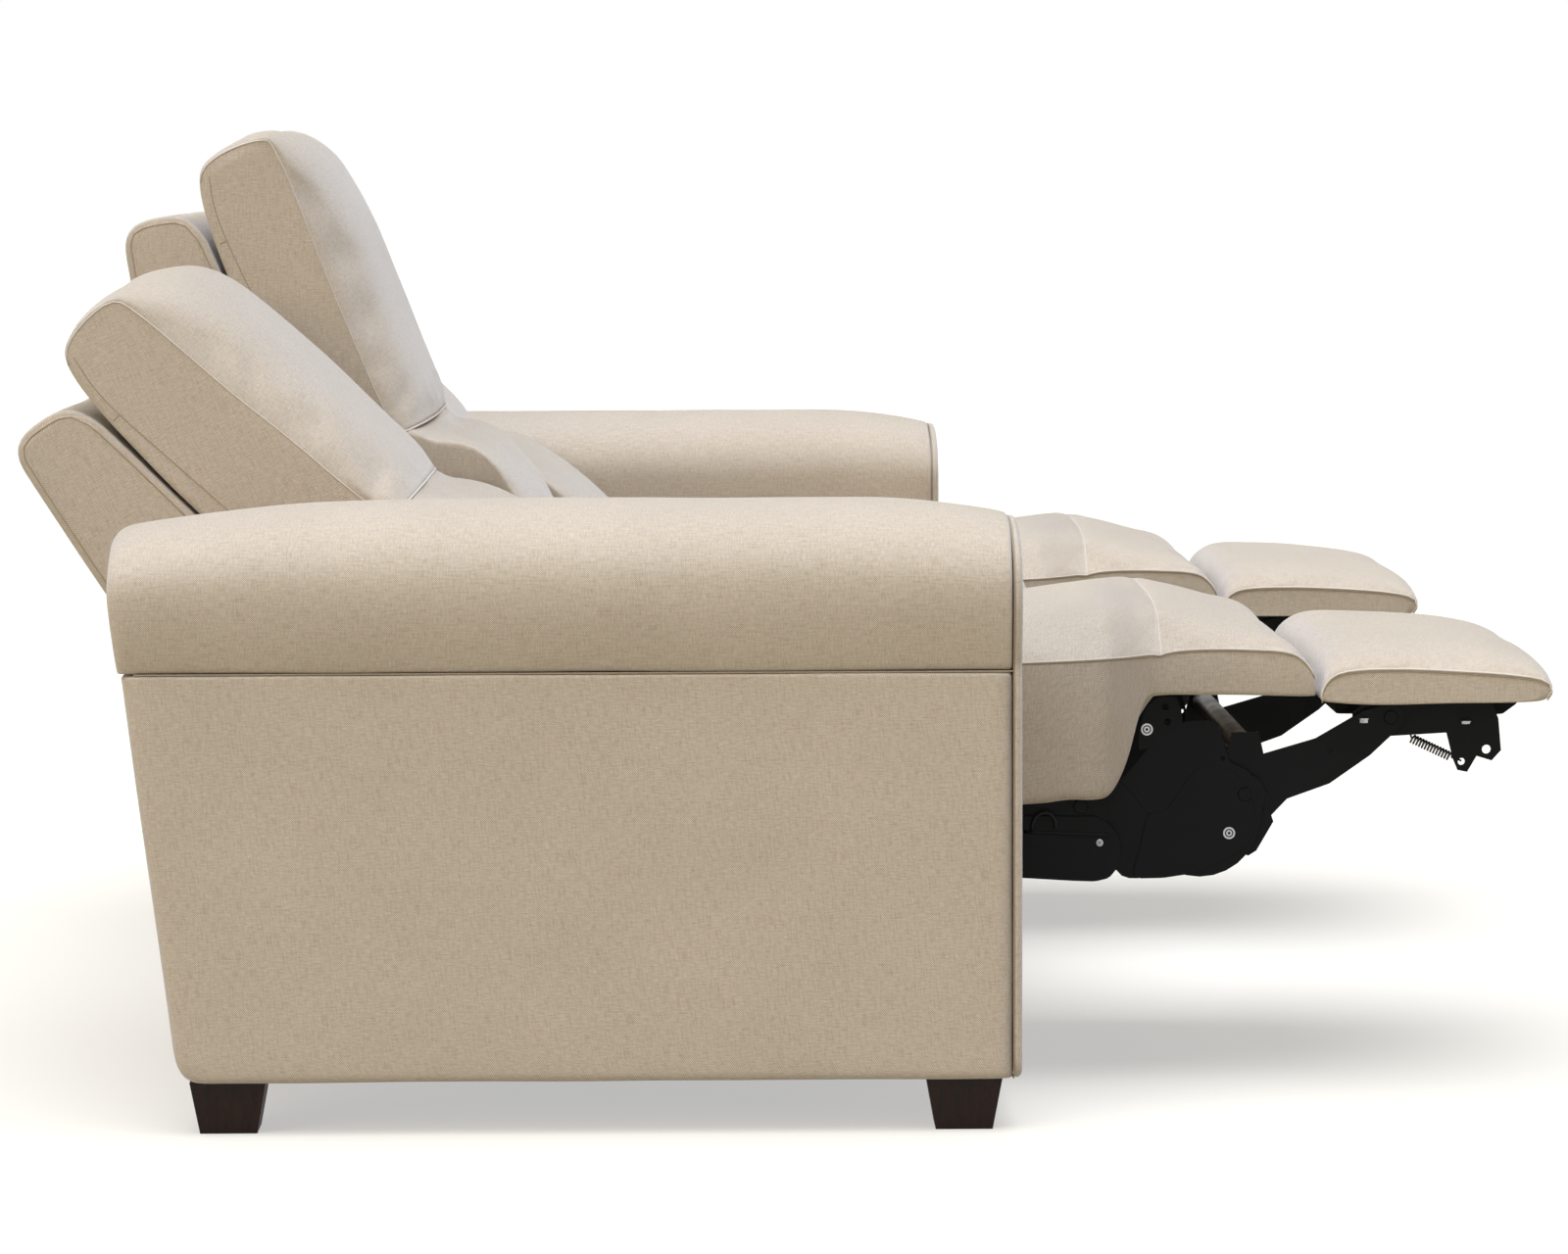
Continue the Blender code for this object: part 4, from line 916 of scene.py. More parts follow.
def headrest_outlines(is_open):
    """Side and crown outlines of the upright headrest, from its crease up its front and over.

    An end seat's headrest lies a little forward of the middle one's.
    """
    if is_open:
        side = [lean(-112, 785.5), lean(-118, 797), lean(-126, 815), lean(-134, 920), lean(-142, 1000),
                lean(-147, 1084), lean(-151, 1128), lean(-158, 1152)]
        crown = [lean(-78, 785.5), lean(-75, 797), lean(-75, 840), lean(-77, 1000), lean(-83, 1082), lean(-95, 1121),
                 lean(-117, 1145), lean(-152, 1161)]
    else:
        side = [lean(-142, 785.5), lean(-147, 797), lean(-150, 820), lean(-151, 900), lean(-150, 993),
                lean(-147, 1098), lean(-149, 1132), lean(-153, 1154)]
        crown = [lean(-104, 785.5), lean(-101, 797), lean(-102, 850), lean(-102, 955), lean(-101, 1025),
                 lean(-105, 1078), lean(-115, 1121), lean(-150, 1165)]
    side += [lean(-194, 1159), lean(-229, 1153), lean(-241, 1139), lean(-250, 1100), lean(-254, 1040),
             lean(-255, 830), lean(-247, 787), lean(-215, 785.3), lean(-165, 785.3), lean(-140, 785.3)]
    crown += [lean(-190, 1168), lean(-222, 1162), lean(-240, 1147), lean(-253, 1102), lean(-258, 1040),
              lean(-257.5, 830), lean(-249, 786), lean(-215, 785.3), lean(-160, 785.3), lean(-125, 785.3)]
    return side, crown


def make_headrests():
    """The three upper back cushions: the middle one upright, the end ones lying back."""
    for name, is_open, body, middle in (("centre", False, "base", 0.0), ("right", True, "right_head", -SEAT_PITCH),
                                        ("left", True, "left_head", SEAT_PITCH)):
        side, crown = headrest_outlines(is_open)
        rings, steps = boxed_rings(side, crown, BACK_HALF - 0.5, (0, len(side) - 4, len(side) - 1), 12.0, 3.6, 0.55)
        rows, count = rings.shape[:2]
        pad = ring_mesh(f"{name}_headrest_cushion", rings, 5)
        column = np.arange(rows * count) % count
        rear = first_index(steps, 10)
        held = list(np.flatnonzero((column >= rear) | (column < 2)))
        held += list(range(count)) + list(range((rows - 1) * count, rows * count))
        puff(pad, held, 2.0, 0.015, 5.0, rings=rows * count)
        points = points_of(pad)
        inner = slice(count, (rows - 1) * count)
        crease = lean(-84 if is_open else -112, CREASE_UP)
        points[inner] = gather(points[inner], normals_of(pad)[inner], crease, 75.0, 7.0, 2.0 + middle / 100)
        set_points(pad, points)
        ripple(pad, 2.5, 110.0, 7.0 + middle / 100, nearness(points, crease, CREASE_CALM + 10), rows * count)
        subdivide(pad, boxed_creases(rows, count) + column_creases(rows, count, 0))
        points = within(points_of(pad), BACK_HALF)
        if is_open:
            points = open_back(points)
        points[:, 1] += middle
        set_points(pad, points)
        dress(pad, body, "fabric", f"{name}_headrest")
        surface = shown(pad)
        path = [surface[r * count] for r in range(rows)]
        dress(tube(f"{name}_crease_seam", path, 1.2, SEAM_WEAVE_AND_HIGHLIGHT, 6), body, "fabric")
        stitch = lean_line((-230, 1141), (-238, 1105), (-240, 1066), (-237, 995), (-233, 905), (-231, 800))
        tick = lean_line((-241, 1065), (-245, 1065), (-249, 1065))
        lines = [(open_back(line) if is_open else line)[:, [0, 2]] for line in (stitch, tick)]
        lines[0] = dense(lines[0], [4] * 5 + [1], (0, 5))[:21]
        for end, row, out in (("low", 0, -1), ("high", rows - 1, 1)):
            path = [surface[row * count + i] for i in range(1, rear + 1)]
            dress(tube(f"{name}_headrest_{end}_seam", path, 0.8, SEAM_WEAVE_AND_HIGHLIGHT, 6), body, "fabric")
            for label, line in zip(("stitch", "tick"), lines):
                laid = on_side(pad, line, middle, out)
                seam(f"{name}_headrest_{end}_{label}", laid, body, 0.6)



def lumbar_outlines(is_open):
    """Side and crown outlines of the upright lumbar cushion."""
    hub_x, hub_z = RECLINE_PIVOT[0] - TRAVEL, RECLINE_PIVOT[1]
    turns = [math.radians(t) for t in (34, 42, 50, 58)]
    low = [(hub_x + 189 * math.cos(t), hub_z + 189 * math.sin(t)) for t in turns]
    face = -258.5
    rear = [lean(face, t) for t in (780, 700, 600, 500)]
    floor_x, floor_z = lean(face, 0)
    rear.append((floor_x - math.tan(math.radians(BACK_LEAN)) * (low[0][1] - floor_z), low[0][1]))
    if is_open:
        side = low + [(-240, 462), (-262, 520), (-300, 600), (-334, 648), lean(-90, 764), lean(-98, 784)]
        crown = low + [(-234, 462), (-252, 520), (-289, 600), (-322, 646), lean(-74, 768), lean(-77, 784.8)]
    else:
        side = low + [(-240, 462), (-262, 520), (-303, 600), (-346, 651), lean(-118, 767), lean(-134, 784)]
        crown = low + [(-234, 462), (-250, 520), (-288, 603), (-332, 650), lean(-100, 769), lean(-103, 784.8)]
    return side + [lean(-243, 783)] + rear, crown + [lean(-243, 783)] + rear


def make_lumbars():
    """The three lower back cushions; an end one's top follows its headrest at the crease."""
    for name, is_open, middle in (("centre", False, 0.0), ("right", True, -SEAT_PITCH), ("left", True, SEAT_PITCH)):
        side, crown = lumbar_outlines(is_open)
        rings, steps = boxed_rings(side, crown, BACK_HALF - 0.5, (0, 9, 10, 15), 13.0, 2.5, 0.75)
        rows, count = rings.shape[:2]
        pad = ring_mesh(f"{name}_lumbar_cushion", rings, 5)
        column = np.arange(rows * count) % count
        top = first_index(steps, 9)
        held = list(np.flatnonzero((column >= top - 1) | (column < first_index(steps, 4))))
        held += list(range(count)) + list(range((rows - 1) * count, rows * count))
        puff(pad, held, 2.0, 0.015, 5.0, rings=rows * count)
        points = points_of(pad)
        inner = slice(count, (rows - 1) * count)
        crease = lean(-84 if is_open else -112, CREASE_UP)
        points[inner] = gather(points[inner], normals_of(pad)[inner], crease, 80.0, 7.0, 11.0 + middle / 200)
        set_points(pad, points)
        ripple(pad, 2.5, 80.0, 17.0 + middle / 300, nearness(points, crease, CREASE_CALM + 10))
        subdivide(pad, column_creases(rows, count, top))
        points = within(points_of(pad), BACK_HALF)
        if is_open:
            points = open_back(points)
        points[:, 1] += middle
        set_points(pad, points)
        if is_open:
            ends = open_back(lean_line((-112, 712), (-112, 784)))
            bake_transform(pad)
            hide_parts(f"{name}_lumbar")
        else:
            dress(pad, "base", "fabric", f"{name}_lumbar")


def make_shells():
    """The three outer backs, each a firm box with rounded edges and a seam inside each edge."""
    front = -260.3
    for name, body, middle, bottom in (("centre", "base", 0.0, limits("centre_back_shell", 2)[0]),
                                       ("right", "right_back", -SEAT_PITCH, 300.0),
                                       ("left", "left_back", SEAT_PITCH, 300.0)):
        floor_x, floor_z = lean(front, 0)
        front_x = floor_x - math.tan(math.radians(BACK_LEAN)) * (bottom - floor_z)
        outline = [(shell_rear(bottom), bottom), (front_x, bottom), lean(front, 1030), lean(front - 2, 1082),
                   lean(front - 10, 1104), (-688, 921), (-728, 914), (-742, 905), (-747, 888), (shell_rear(600), 600)]
        ring = dense(outline, steps_for(outline, 16.0), (0, 1, 2, 9))
        half = BACK_HALF
        near = [(-half, 4.5), (-half + 1.2, 1.5), (-half + 4, 0.0), (-half + 9, 0.0)]
        flat = [(y, 0.0) for y in np.linspace(-half + 30, half - 30, 18)]
        rings = []
        for place, inset in near + flat + [(-place, inset) for place, inset in reversed(near)]:
            drawn = shrunk(ring, inset)
            rings.append(np.stack([drawn[:, 0], np.full(len(drawn), place), drawn[:, 1]], 1))
        shell = ring_mesh(f"{name}_back_cover", rings, 5)
        ripple(shell, 1.2, 120.0, 27.0 + middle)
        subdivide(shell)
        points = points_of(shell)
        line = np.insert(shrunk(ring, 8.0), 1, 0.0, axis=1)
        if name != "centre":
            points = open_back(points)
            line = open_back(line)
        points[:, 1] += middle
        set_points(shell, points)
        dress(shell, body, "fabric", f"{name}_back_shell")
        for end, out in (("low", -1), ("high", 1)):
            laid = on_side(shell, line[:, [0, 2]], middle, out)
            seam(f"{name}_back_{end}_seam", laid, body, 0.7, True)


def shell_rear(z):
    """The rear face of the upright back at a height."""
    return -746.0 + (890.0 - z) * 0.172


def make_footrests():
    """The padded footrests on their boards."""
    floor = BOARD_TOP + 0.5
    side = [(562, floor + 3), (600, floor), (690, floor), (784, floor + 0.5), (803, 413), (809, 421), (806, 431),
            (772, 438.5), (700, 444), (640, 446), (590, 444), (572, 437), (564, 424)]
    crown = [(561.5, floor + 3), (600, floor), (690, floor), (782, floor), (804, 413), (811.5, 426), (808, 442),
             (780, 457), (715, 467), (640, 471.5), (592, 470), (570, 459), (562, 437)]
    for name, sign in SIDES:
        rings, steps = boxed_rings(side, crown, SEAT_HALF - 0.5, (0,), 11.0, 3.4, 0.6, 4.0, 34)
        rows, count = rings.shape[:2]
        pad = ring_mesh(f"{name}_footrest_cushion", rings, 4)
        column = np.arange(rows * count) % count
        held = list(np.flatnonzero(column < first_index(steps, 4)))
        held += list(range(count)) + list(range((rows - 1) * count, rows * count))
        puff(pad, held, 1.5, 0.015, 4.0, rings=rows * count)
        ripple(pad, 1.6, 85.0, 37.0 + sign)
        subdivide(pad, boxed_creases(rows, count))
        points = points_of(pad)
        points[:, 1] += sign * SEAT_PITCH
        set_points(pad, points)
        dress(pad, f"{name}_footrest", "fabric", f"{name}_footrest_pad")
        surface = shown(pad)
        start = first_index(steps, 4)
        for end, row in (("low", 0), ("high", rows - 1)):
            path = [surface[row * count + i] for i in list(range(start, count)) + [0]]
            welt = tube(f"{name}_footrest_{end}_welt", path, 1.3, SEAM_WEAVE_AND_HIGHLIGHT, 6)
            dress(welt, f"{name}_footrest", "fabric")
            # Painted shadow: a thin thread-coloured tube below each pale welt stands for the shade under its raised
            # edge.
            out = 1 if row else -1
            low = [point + (0, out * 0.3, -2.4) for point in path]
            seam(f"{name}_footrest_{end}_stitch", low, f"{name}_footrest", 0.7)


# Middle seat

def centre_ring(x):
    """Front-view ring of the middle seat's pad, which has no apron."""
    shift = x + TRAVEL
    top, welt = chaise_top(min(shift, 372.0)), chaise_welt(min(shift, 372.0))
    half = SEAT_HALF - 1.5
    floor = DECK_TOP + 0.5
    crown = []
    for i in range(25):
        y = half * math.sin(math.pi / 2 * i / 24) ** 0.85
        crown.append((y, welt + (top - welt) * (1 - (y / half) ** 3.4) ** 0.62))
    crown[-1] = (half, welt)
    edge = [(half + 1.2 * math.sin(math.pi * i / 12) - 0.5, welt + (floor - welt) * i / 12) for i in range(1, 13)]
    under = [(half * (1 - i / 17), floor) for i in range(1, 18)]
    outer = crown + edge + under
    return [(x, y, z) for y, z in outer] + [(x, -y, z) for y, z in outer[-2:0:-1]]


def make_centre_seat():
    """The fixed middle seat: its pad, and the front panel that hangs before it."""
    rear, front = limits("centre_seat_cushion", 0)[0] + 1, limits("centre_seat_cushion", 0)[1] - 26
    stations = [rear, rear + 3, rear + 8] + list(np.arange(rear + 18, front - 10, 12)) + [front - 4, front]
    pad, rings = make_chaise_mesh("centre_seat_pad", stations, centre_ring)
    rows, count = rings.shape[:2]
    ripple(pad, 2.2, 85.0, 45.0)
    subdivide(pad, chaise_creases(rows, count))
    dress(pad, "base", "fabric", "centre_seat_cushion")
    shape = shown(pad)
    for place, column in (("left", WELT_INDEX), ("right", count - WELT_INDEX)):
        path = [shape[r * count + column] for r in range(2, rows - 1)]
        welt = tube(f"centre_seat_{place}_welt", path, 1.0, SEAM_WEAVE_AND_HIGHLIGHT, 6)
        dress(welt, "base", "fabric")
    back = limits("centre_front_panel", 0)[0]
    side = [(199.7, 66), (240, 66), (248, 80), (250, 180), (248, 290), (240, 311), (262, 323), (268, 380),
            (266, 450), (250, 467), (222, 467), (193, 466), (back + 1, 440), (204, 410), (214, 380), (199.7, 366),
            (199.7, 200)]
    crown = [(199.7, 66), (245, 66), (262, 84), (275, 180), (272, 290), (244, 311), (280, 329), (300, 390),
             (296, 468), (270, 508), (232, 515), (194, 506), (back + 1, 440), (204, 410), (214, 380), (199.7, 366),
             (199.7, 200)]
    rings, steps = boxed_rings(side, crown, SEAT_HALF - 0.5, (0, 1, 5, 15), 13.0, 3.4, 0.6)
    rows, count = rings.shape[:2]
    panel = ring_mesh("centre_front_pad", rings, 4)
    column = np.arange(rows * count) % count
    held = list(np.flatnonzero((column < 4) | (column >= first_index(steps, 12))))
    held += list(range(count)) + list(range((rows - 1) * count, rows * count))
    puff(panel, held, 1.5, 0.015, 5.0)
    ripple(panel, 2.0, 85.0, 55.0)
    subdivide(panel, boxed_creases(rows, count))
    dress(panel, "base", "fabric", "centre_front_panel")
    shape = shown(panel)
    for end, row in (("low", 0), ("high", rows - 1)):
        path = [shape[row * count + i] for i in range(count)]
        seam(f"centre_front_{end}_seam", path, "base", 1.1, True)
    fold = first_index(steps, 5)
    path = [shape[r * count + fold] for r in range(rows)]
    seam("centre_front_fold_seam", path, "base", 1.1)


def make_rear_panel():
    """The fabric strip across the sofa's back, above the floor."""
    low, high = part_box("rear_panel")
    low, high = low / MM, high / MM
    outline = [(low[0], low[2] + 4), (low[0] + 4, low[2]), (high[0], low[2]), (high[0], 95.0), (-604.0, 95.0),
               (-604.0, high[2] - 3), (-607.0, high[2]), (low[0] + 4, high[2]), (low[0], high[2] - 4)]
    steps = steps_for(outline, 14.0)
    ring = dense(outline, steps, tuple(range(len(outline))))
    places = np.linspace(low[1], high[1], 60)
    rings = [np.stack([ring[:, 0], np.full(len(ring), y), ring[:, 1]], 1) for y in places]
    strip = ring_mesh("rear_panel_cover", rings, 1)
    subdivide(strip, [])
    dress(strip, "base", "fabric", "rear_panel")


def make_seam_weave_and_highlight():
    """The weave over a welt or seam edge, made paler than the panels beside it as a painted highlight on the raised
    edge.
    """
    material, tree, shader, place = new_material("welt_weave_and_highlight", 0.85)
    rib = noise_node(tree, place, 800.0, 1.0)
    tree.links.new(mix_colour(tree, rib, (0.52, 0.45, 0.36), (0.69, 0.63, 0.545)), shader.inputs["Base Color"])
    add_bump(tree, shader, rib, 0.0004)
    shader.inputs["Sheen Weight"].default_value = 0.35
    shader.inputs["Specular IOR Level"].default_value = 0.15
    return material


# Welts and seam edges: weave colour with a painted highlight along the raised edge.
SEAM_WEAVE_AND_HIGHLIGHT = make_seam_weave_and_highlight()

# Hard parts

RIVET = ((0.0, 6.4), (0.35, 6.4), (0.55, 5.9), (0.45, 4.5), (0.2, 4.2), (0.2, 3.6), (0.55, 3.2), (0.55, 1.5),
         (0.3, 1.2))
SMALL_RIVET = ((0.0, 3.7), (0.3, 3.7), (0.5, 3.4), (0.5, 2.5), (0.2, 2.3), (0.2, 2.0), (0.5, 1.8), (0.5, 1.0),
               (0.3, 0.8))
RIVET_DARK = (3, 4, 5, 7)
HEX_SIDES = 6


def finish_nodes():
    """Give the CAD nodes that stay their finishes and slightly softened edges."""
    looks = {"foot": DARK_WOOD, "rail": BARE_WOOD, "divider": BARE_WOOD, "seat_frame": BARE_WOOD,
             "board": BOARD, "gland": PLASTIC, "panel": PLASTIC, "button": PLASTIC, "actuators": PLASTIC,
             "spring": SPRING_STEEL}
    for name, node in frame["nodes"].items():
        if node.hide_render:
            continue
        look = STEEL
        for word, material in looks.items():
            if name.endswith(word):
                look = material
        node.data.materials.clear()
        node.data.materials.append(look)
        change = node.modifiers.new("bevel", "BEVEL")
        change.width = (1.8 if look in (DARK_WOOD, BARE_WOOD, BOARD) else 0.5) * MM
        change.segments = 2
        change.limit_method = "ANGLE"
        change.angle_limit = math.radians(40)


def make_seat_frames():
    """The plywood deck of each end seat, with the side boards that its cover hangs over."""
    for side, sign in SIDES:
        middle = sign * SEAT_PITCH
        under = [(-190, 312), (296, 312), (296, 341), (-60, 341), (-190, 330)]
        rail = plate(f"{side}_deck_rails", under, middle - 225, middle + 225, BARE_WOOD, 1.5)
        dress(rail, f"{side}_seat", "bare_wood", f"{side}_seat_frame")
        top = [(30, 341.2), (334, 341.2), (334, DECK_TOP), (30, DECK_TOP)]
        dress(plate(f"{side}_deck", top, middle - 262, middle + 262, BARE_WOOD, 1.5), f"{side}_seat", "bare_wood")
        board = [(34, 318), (332, 318), (339, 331), (350, DECK_TOP - 0.4), (34, DECK_TOP - 0.4)]
        for out in (-1, 1):
            ends = sorted((middle + out * 265.0, middle + out * 274.0))
            where = "outer" if out == sign else "inner"
            piece = plate(f"{side}_{where}_side_board", board, *ends, BARE_WOOD, 1.0)
            dress(piece, f"{side}_seat", "bare_wood")


SECTOR_BODY = [(371, 372), (375, 390), (379, 404), (389, 414), (397, 416.3), (411, 416.3), (413, 399), (417, 388),
               (425, 390), (448, 391), (456, 386), (462, 368), (468, 346), (486, 338), (503, 322), (498, 308),
               (478, 290), (440, 300), (400, 290), (381, 292), (362, 318), (352, 327), (362, 338), (370, 347),
               (383, 362.5), (372, 358.5)]
SECTOR_DISC = [(381, 290.5), (401.5, 294.4), (414, 313), (424, 329), (433, 338), (449, 342), (470, 338), (486, 322),
               (494, 300), (496, 284), (493, 268), (485, 256), (476, 249.8), (462, 242), (449, 236.4), (436, 230.5),
               (422, 226.5), (398, 223), (372, 222.6), (366, 228), (374, 258)]
SECTOR_HEEL = [(346, 234), (354, 225.5), (362, 222.8), (372, 222.6), (384, 230), (386, 290), (357, 286), (343, 268)]
SECTOR_TAIL = [(482, 300), (494, 319), (508, 316), (513.5, 309), (509.5, 300), (515.5, 282), (497.5, 251),
               (489, 245.6), (482, 248), (478, 256), (490, 270)]
LOWER_STRAP = [(245, 225), (300, 221.5), (325, 220.5), (340, 224), (350, 236), (353, 252), (350, 268), (341, 281),
               (326, 290), (300, 290), (262, 291), (245, 291)]


def make_hardware():
    """The linkages' outer plates, fixings, cable clip and a sleeve over the cross tube, whose grey is partly painted
    sheen.
    """
    for side, sign in SIDES:
        middle = sign * SEAT_PITCH
        for out in (-1, 1):
            where = "outer" if out == sign else "inner"

            def layer(label, outline, body, start, thick, holes=(), material=STEEL):
                ends = sorted((middle + out * start, middle + out * (start + thick)))
                piece = plate(f"{side}_{where}_{label}", outline, *ends, material, 0.2, holes)
                dress(piece, f"{side}_{body}", "black_steel")

            knee_hole = (KNEE[0], KNEE[1], 7.6)
            layer("sector_body", dense_corners(SECTOR_BODY), "lift", 254.1, 0.55,
                  (knee_hole, (400.0, 405.0, 3.8), (402.5, 389.0, 3.8), (461, 350, 2.6)))
            layer("sector_disc", dense_corners(SECTOR_DISC), "lift", 254.75, 0.6, (knee_hole,))
            layer("sector_heel", SECTOR_HEEL, "lift", 253.1, 0.8)
            layer("sector_tail", SECTOR_TAIL, "lift", 248.3, 1.4, ((496.5, 308.5, 3.6), (501, 294.4, 3.8)))
            layer("lower_strap", dense_corners(LOWER_STRAP), "seat", 260.3, 2.4)
            slot_line = [(250 + 9 * i, 274 - 0.045 * (9 * i)) for i in range(11)]
            rib = tube(f"{side}_{where}_strap_rib", [(x, middle + out * 262.9, z) for x, z in slot_line], 1.6, STEEL, 8)
            dress(rib, f"{side}_seat", "black_steel")
            clip = [(258.5, 276), (259, 284), (262, 290), (267, 294), (273, 295), (279, 292.5), (283, 286), (283.5, 277)]
            path = [(x, middle + out * (263.4 + 3.0 * math.sin(math.pi * i / 7)), z) for i, (x, z) in enumerate(clip)]
            dress(tube(f"{side}_{where}_cable", path, 1.9, PLASTIC, 8), f"{side}_seat", "black_plastic")
            for label, x, z, face, body, profile, sides in (
                    ("disc_rivet", 467.9, 270.6, 255.35, "lift", RIVET, 24),
                    ("ear_rivet", 380.5, 381.4, 254.65, "lift", RIVET, 24),
                    ("strap_rivet", 330.0, 261.9, 262.7, "seat", SMALL_RIVET, 20),
                    ("roller_rivet", 128.0, 142.3, 260.0, "seat", RIVET, 24),
                    ("rear_roller_rivet", -120.0, 142.3, 260.0, "seat", RIVET, 24),
                    ("leg_rivet", 575.0, 357.0, 248.0, "leg", SMALL_RIVET, 20)):
                finish = STEEL if label == "leg_rivet" else ZINC
                piece = turned(f"{side}_{where}_{label}", (x, middle + out * face, z), out, profile, finish, sides,
                               RIVET_DARK)
                dress(piece, f"{side}_{body}", "spring_steel")
            for label, x, z, wide, tall in (("rear_bolt", 611.3, 389.0, 5.4, 5.0), ("front_bolt", 719.7, 386.5, 5.0, 3.0)):
                piece = bolt(f"{side}_{where}_{label}", (x, middle + out * 245.0, z), wide, tall)
                dress(piece, f"{side}_footrest", "spring_steel")
        reach = 244.0
        ends = [(KNEE[0], middle + way * reach, KNEE[1] + 49.4) for way in (-1, 1)]
        path = [tuple(np.array(ends[0]) + (np.array(ends[1]) - ends[0]) * i / 12) for i in range(13)]
        # The sleeve's grey is partly a painted sheen of the tube's round top.
        piece = tube(f"{side}_cross_tube_sleeve", path, 12.9, TUBE_STEEL_AND_SHEEN, 24)
        dress(piece, f"{side}_leg", "black_steel")


def dense_corners(outline):
    """An outline with its turns eased by one extra point each side."""
    outline = np.asarray(outline, float)
    eased = []
    for i, point in enumerate(outline):
        before, after = outline[i - 1], outline[(i + 1) % len(outline)]
        for other in (before, after):
            away = other - point
            eased.append(tuple(point + away * min(0.25, 2.5 / max(np.linalg.norm(away), 1e-6))))
    return eased


def bolt(name, point, wide, tall):
    """An upright bolt head: a washer and a hexagon with a chamfered top, standing on a Z axis."""
    mesh = bmesh.new()
    rings = []
    for reach, radius, sides in ((0.0, wide * 1.25, 24), (-1.2, wide * 1.25, 24), (-1.3, wide, 24),
                                 (-tall, wide, 24), (-tall - 0.6, wide * 0.85, 24)):
        rings.append([])
        for k in range(sides):
            turn = 2 * math.pi * k / sides
            flat = 1.0
            if abs(reach) > 1.25:
                part = (turn + math.pi / HEX_SIDES) % (2 * math.pi / HEX_SIDES) - math.pi / HEX_SIDES
                flat = math.cos(math.pi / HEX_SIDES) / math.cos(part)
            rings[-1].append(mesh.verts.new(((point[0] + radius * flat * math.cos(turn)) * MM,
                                             (point[1] + radius * flat * math.sin(turn)) * MM,
                                             (point[2] + tall / 2 + reach) * MM)))
    for low, high in zip(rings, rings[1:]):
        for k in range(24):
            m = (k + 1) % 24
            mesh.faces.new((low[k], low[m], high[m], high[k]))
    mesh.faces.new(rings[0])
    mesh.faces.new(rings[-1])
    bmesh.ops.recalc_face_normals(mesh, faces=mesh.faces)
    return finish_mesh(name, mesh, ZINC, 35.0)


def make_boards():
    """The footrests' black boards, with a slanted front edge."""
    outline = [(584, 394.5), (588, 394), (748, 392), (762, 393), (777, 404), (778, 409), (584, 409)]
    for side, sign in SIDES:
        middle = sign * SEAT_PITCH
        board = plate(f"{side}_board", outline, middle - 225, middle + 225, BOARD, 1.2)
        dress(board, f"{side}_footrest", "black_board", f"{side}_footrest_board")


def make_springs():
    """The footrests' extension springs, close wound and hooked to the bracket at both ends."""
    turns, per_turn, radius = 14, 16, 4.3
    for side, sign in SIDES:
        start, stop = Vector((664.0, 0.0, 368.0)), Vector((706.0, 0.0, 348.0))
        along = (stop - start).normalized()
        across = Vector((0.0, sign, 0.0))
        up = along.cross(across)
        middle = sign * SEAT_PITCH
        y = middle + sign * 231.0
        coil = []
        for i in range(turns * per_turn + 1):
            turn = 2 * math.pi * i / per_turn
            centre = start.lerp(stop, i / (turns * per_turn))
            centre.y = y
            coil.append(centre + radius * (math.cos(turn) * across + math.sin(turn) * up))
        face = middle + sign * 237.6
        first = [(661.0, face, 379.0), (661.0, face - sign * 3, 377.0)]
        last = [(714.0, face - sign * 3, 345.5), (716.0, face, 344.5)]
        path = first + [tuple(point) for point in coil] + last
        piece = tube(f"{side}_extension_spring", path, 1.1, SPRING_STEEL, 8)
        dress(piece, f"{side}_footrest", "spring_steel", f"{side}_spring")


def make_stage():
    """A plain pale floor that keeps the sofa's shadow and shows white elsewhere."""
    mesh = bmesh.new()
    reach = 60.0
    mesh.faces.new([mesh.verts.new((x * reach, y * reach, 0.0)) for x, y in ((-1, -1), (1, -1), (1, 1), (-1, 1))])
    material, tree, shader, place = new_material("floor", 0.9)
    shader.inputs["Base Color"].default_value = (0.41, 0.375, 0.3, 1.0)
    shader.inputs["Specular IOR Level"].default_value = 0.0
    light = tree.nodes.new("ShaderNodeLightPath")
    seen = math_node(tree, "MAXIMUM", light.outputs["Is Camera Ray"],
                     math_node(tree, "MAXIMUM", light.outputs["Is Glossy Ray"], light.outputs["Is Transmission Ray"]))
    glow = math_node(tree, "MULTIPLY", seen, FLOOR_GLOW)
    shader.inputs["Emission Color"].default_value = (1.0, 1.0, 1.0, 1.0)
    tree.links.new(glow, shader.inputs["Emission Strength"])
    floor = finish_mesh("floor", mesh, material)


FLOOR_GLOW = 0.49
SKY = 0.32
SKY_COLOUR = (1.0, 0.92, 0.75)


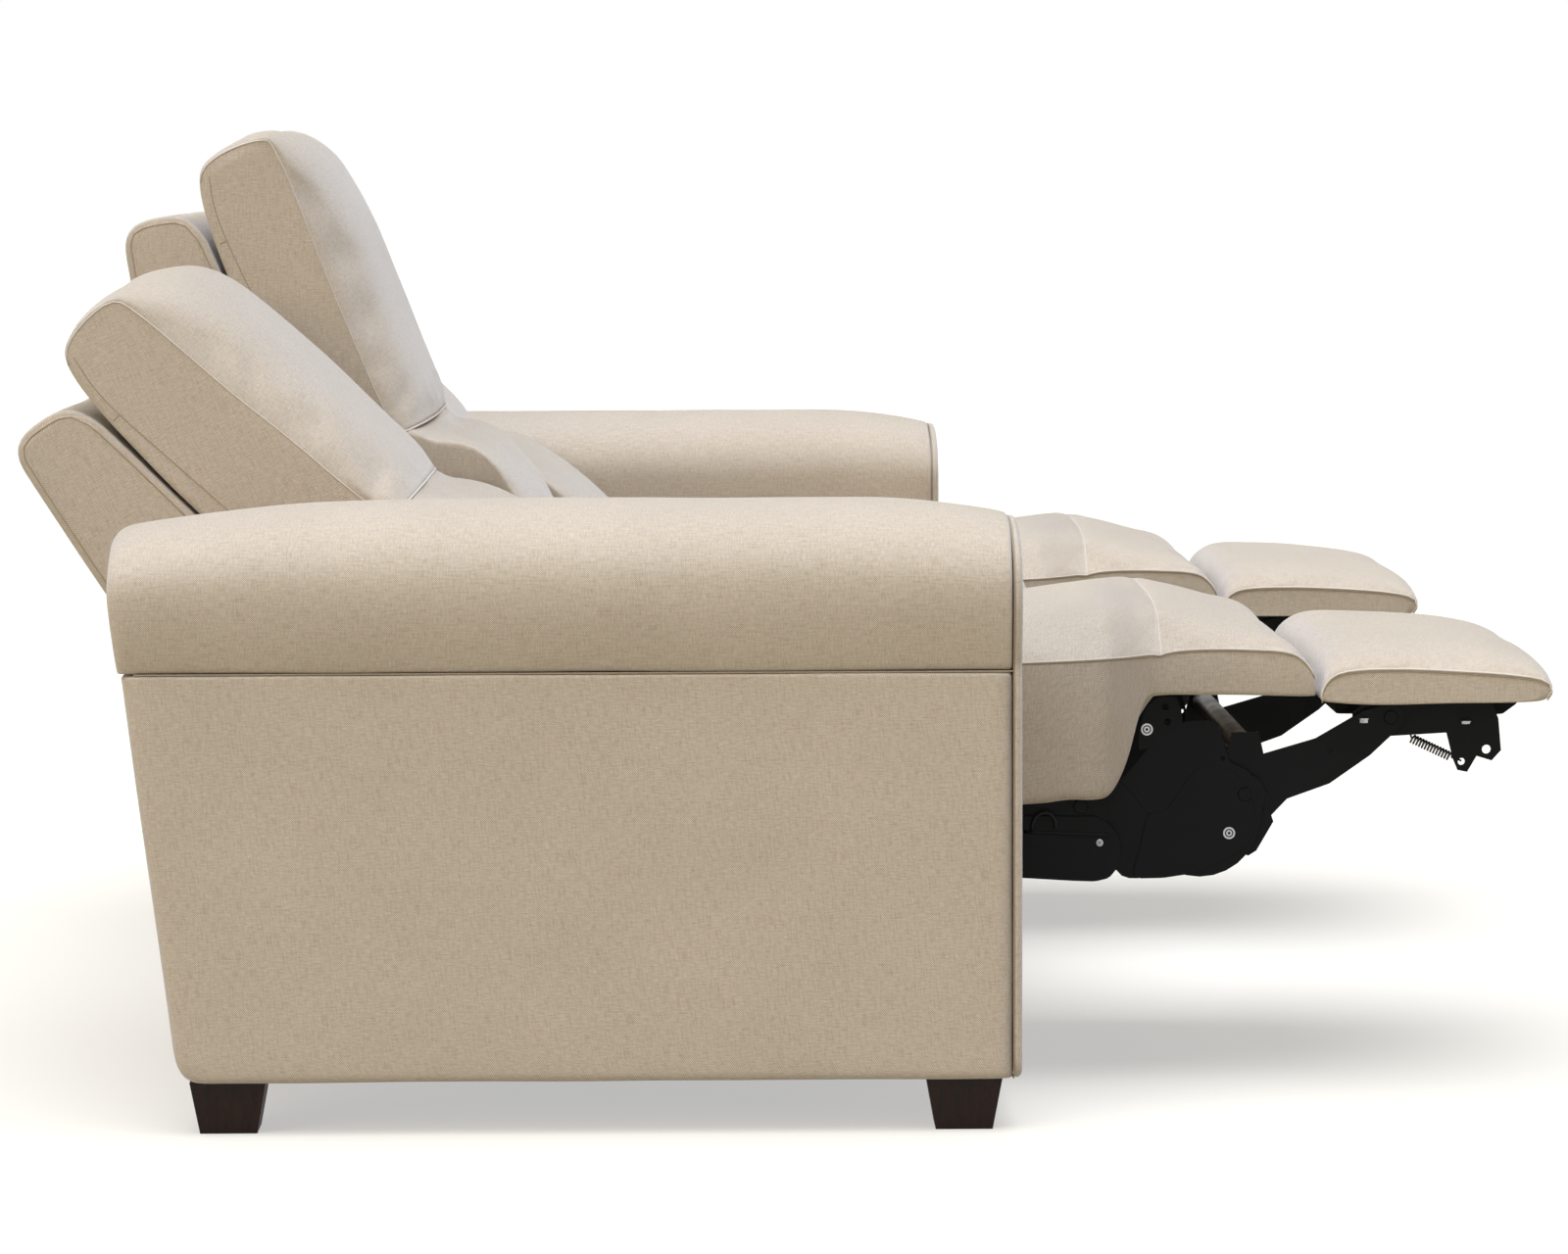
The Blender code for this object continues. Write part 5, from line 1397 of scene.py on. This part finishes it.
def make_light():
    """Even ambient light with a broad soft lamp overhead and a weak one from the front."""
    world = bpy.data.worlds.new("studio")
    bpy.context.scene.world = world
    world.use_nodes = True
    tree = world.node_tree
    background = tree.nodes["Background"]
    light = tree.nodes.new("ShaderNodeLightPath")
    seen = math_node(tree, "MAXIMUM", light.outputs["Is Camera Ray"],
                     math_node(tree, "MAXIMUM", light.outputs["Is Glossy Ray"], light.outputs["Is Transmission Ray"]))
    tree.links.new(mix_colour(tree, seen, SKY_COLOUR, (1.0, 1.0, 1.0)), background.inputs["Color"])
    tree.links.new(ramp(tree, seen, 0.0, 1.0, SKY, 1.0), background.inputs["Strength"])
    for name, energy, angle, tilt, turn, colour in (
            ("overhead", 3.95, 60.0, (8.0, 2.0), 0.0, (0.95, 1.06, 1.3)),
            ("front", 1.15, 35.0, (65.0, 0.0), -50.0, (1.0, 0.9, 0.76))):
        lamp = bpy.data.lights.new(name, "SUN")
        lamp.energy = energy
        lamp.angle = math.radians(angle)
        lamp.color = colour
        made = bpy.data.objects.new(name, lamp)
        bpy.context.collection.objects.link(made)
        made.rotation_euler = (math.radians(tilt[0]), math.radians(tilt[1]), math.radians(turn))


def make_camera():
    """The photograph's viewpoint: far off, a little above the arms, with a long lens."""
    data = bpy.data.cameras.new("camera")
    data.sensor_width = 36.0
    data.lens = 130.5
    camera = bpy.data.objects.new("camera", data)
    bpy.context.collection.objects.link(camera)
    camera.location = (-0.100, -6.79, 0.997)
    pitch, yaw, roll = math.radians(85.17), math.radians(-0.93), math.radians(-0.2)
    turn = Matrix.Rotation(yaw, 4, "Z") @ Matrix.Rotation(pitch, 4, "X") @ Matrix.Rotation(roll, 4, "Z")
    camera.rotation_euler = turn.to_euler()
    bpy.context.scene.camera = camera


bpy.context.scene.view_settings.view_transform = "Standard"
make_camera()
make_light()
make_stage()
for arm_side, arm_sign in SIDES:
    make_roll(arm_side, arm_sign)
    make_side_panel(arm_side, arm_sign)
    make_facing(arm_side, arm_sign)
make_chaises()
make_footrests()
make_shells()
make_lumbars()
make_headrests()
make_centre_seat()
make_rear_panel()
make_seat_frames()
make_boards()
make_springs()
make_hardware()
finish_nodes()
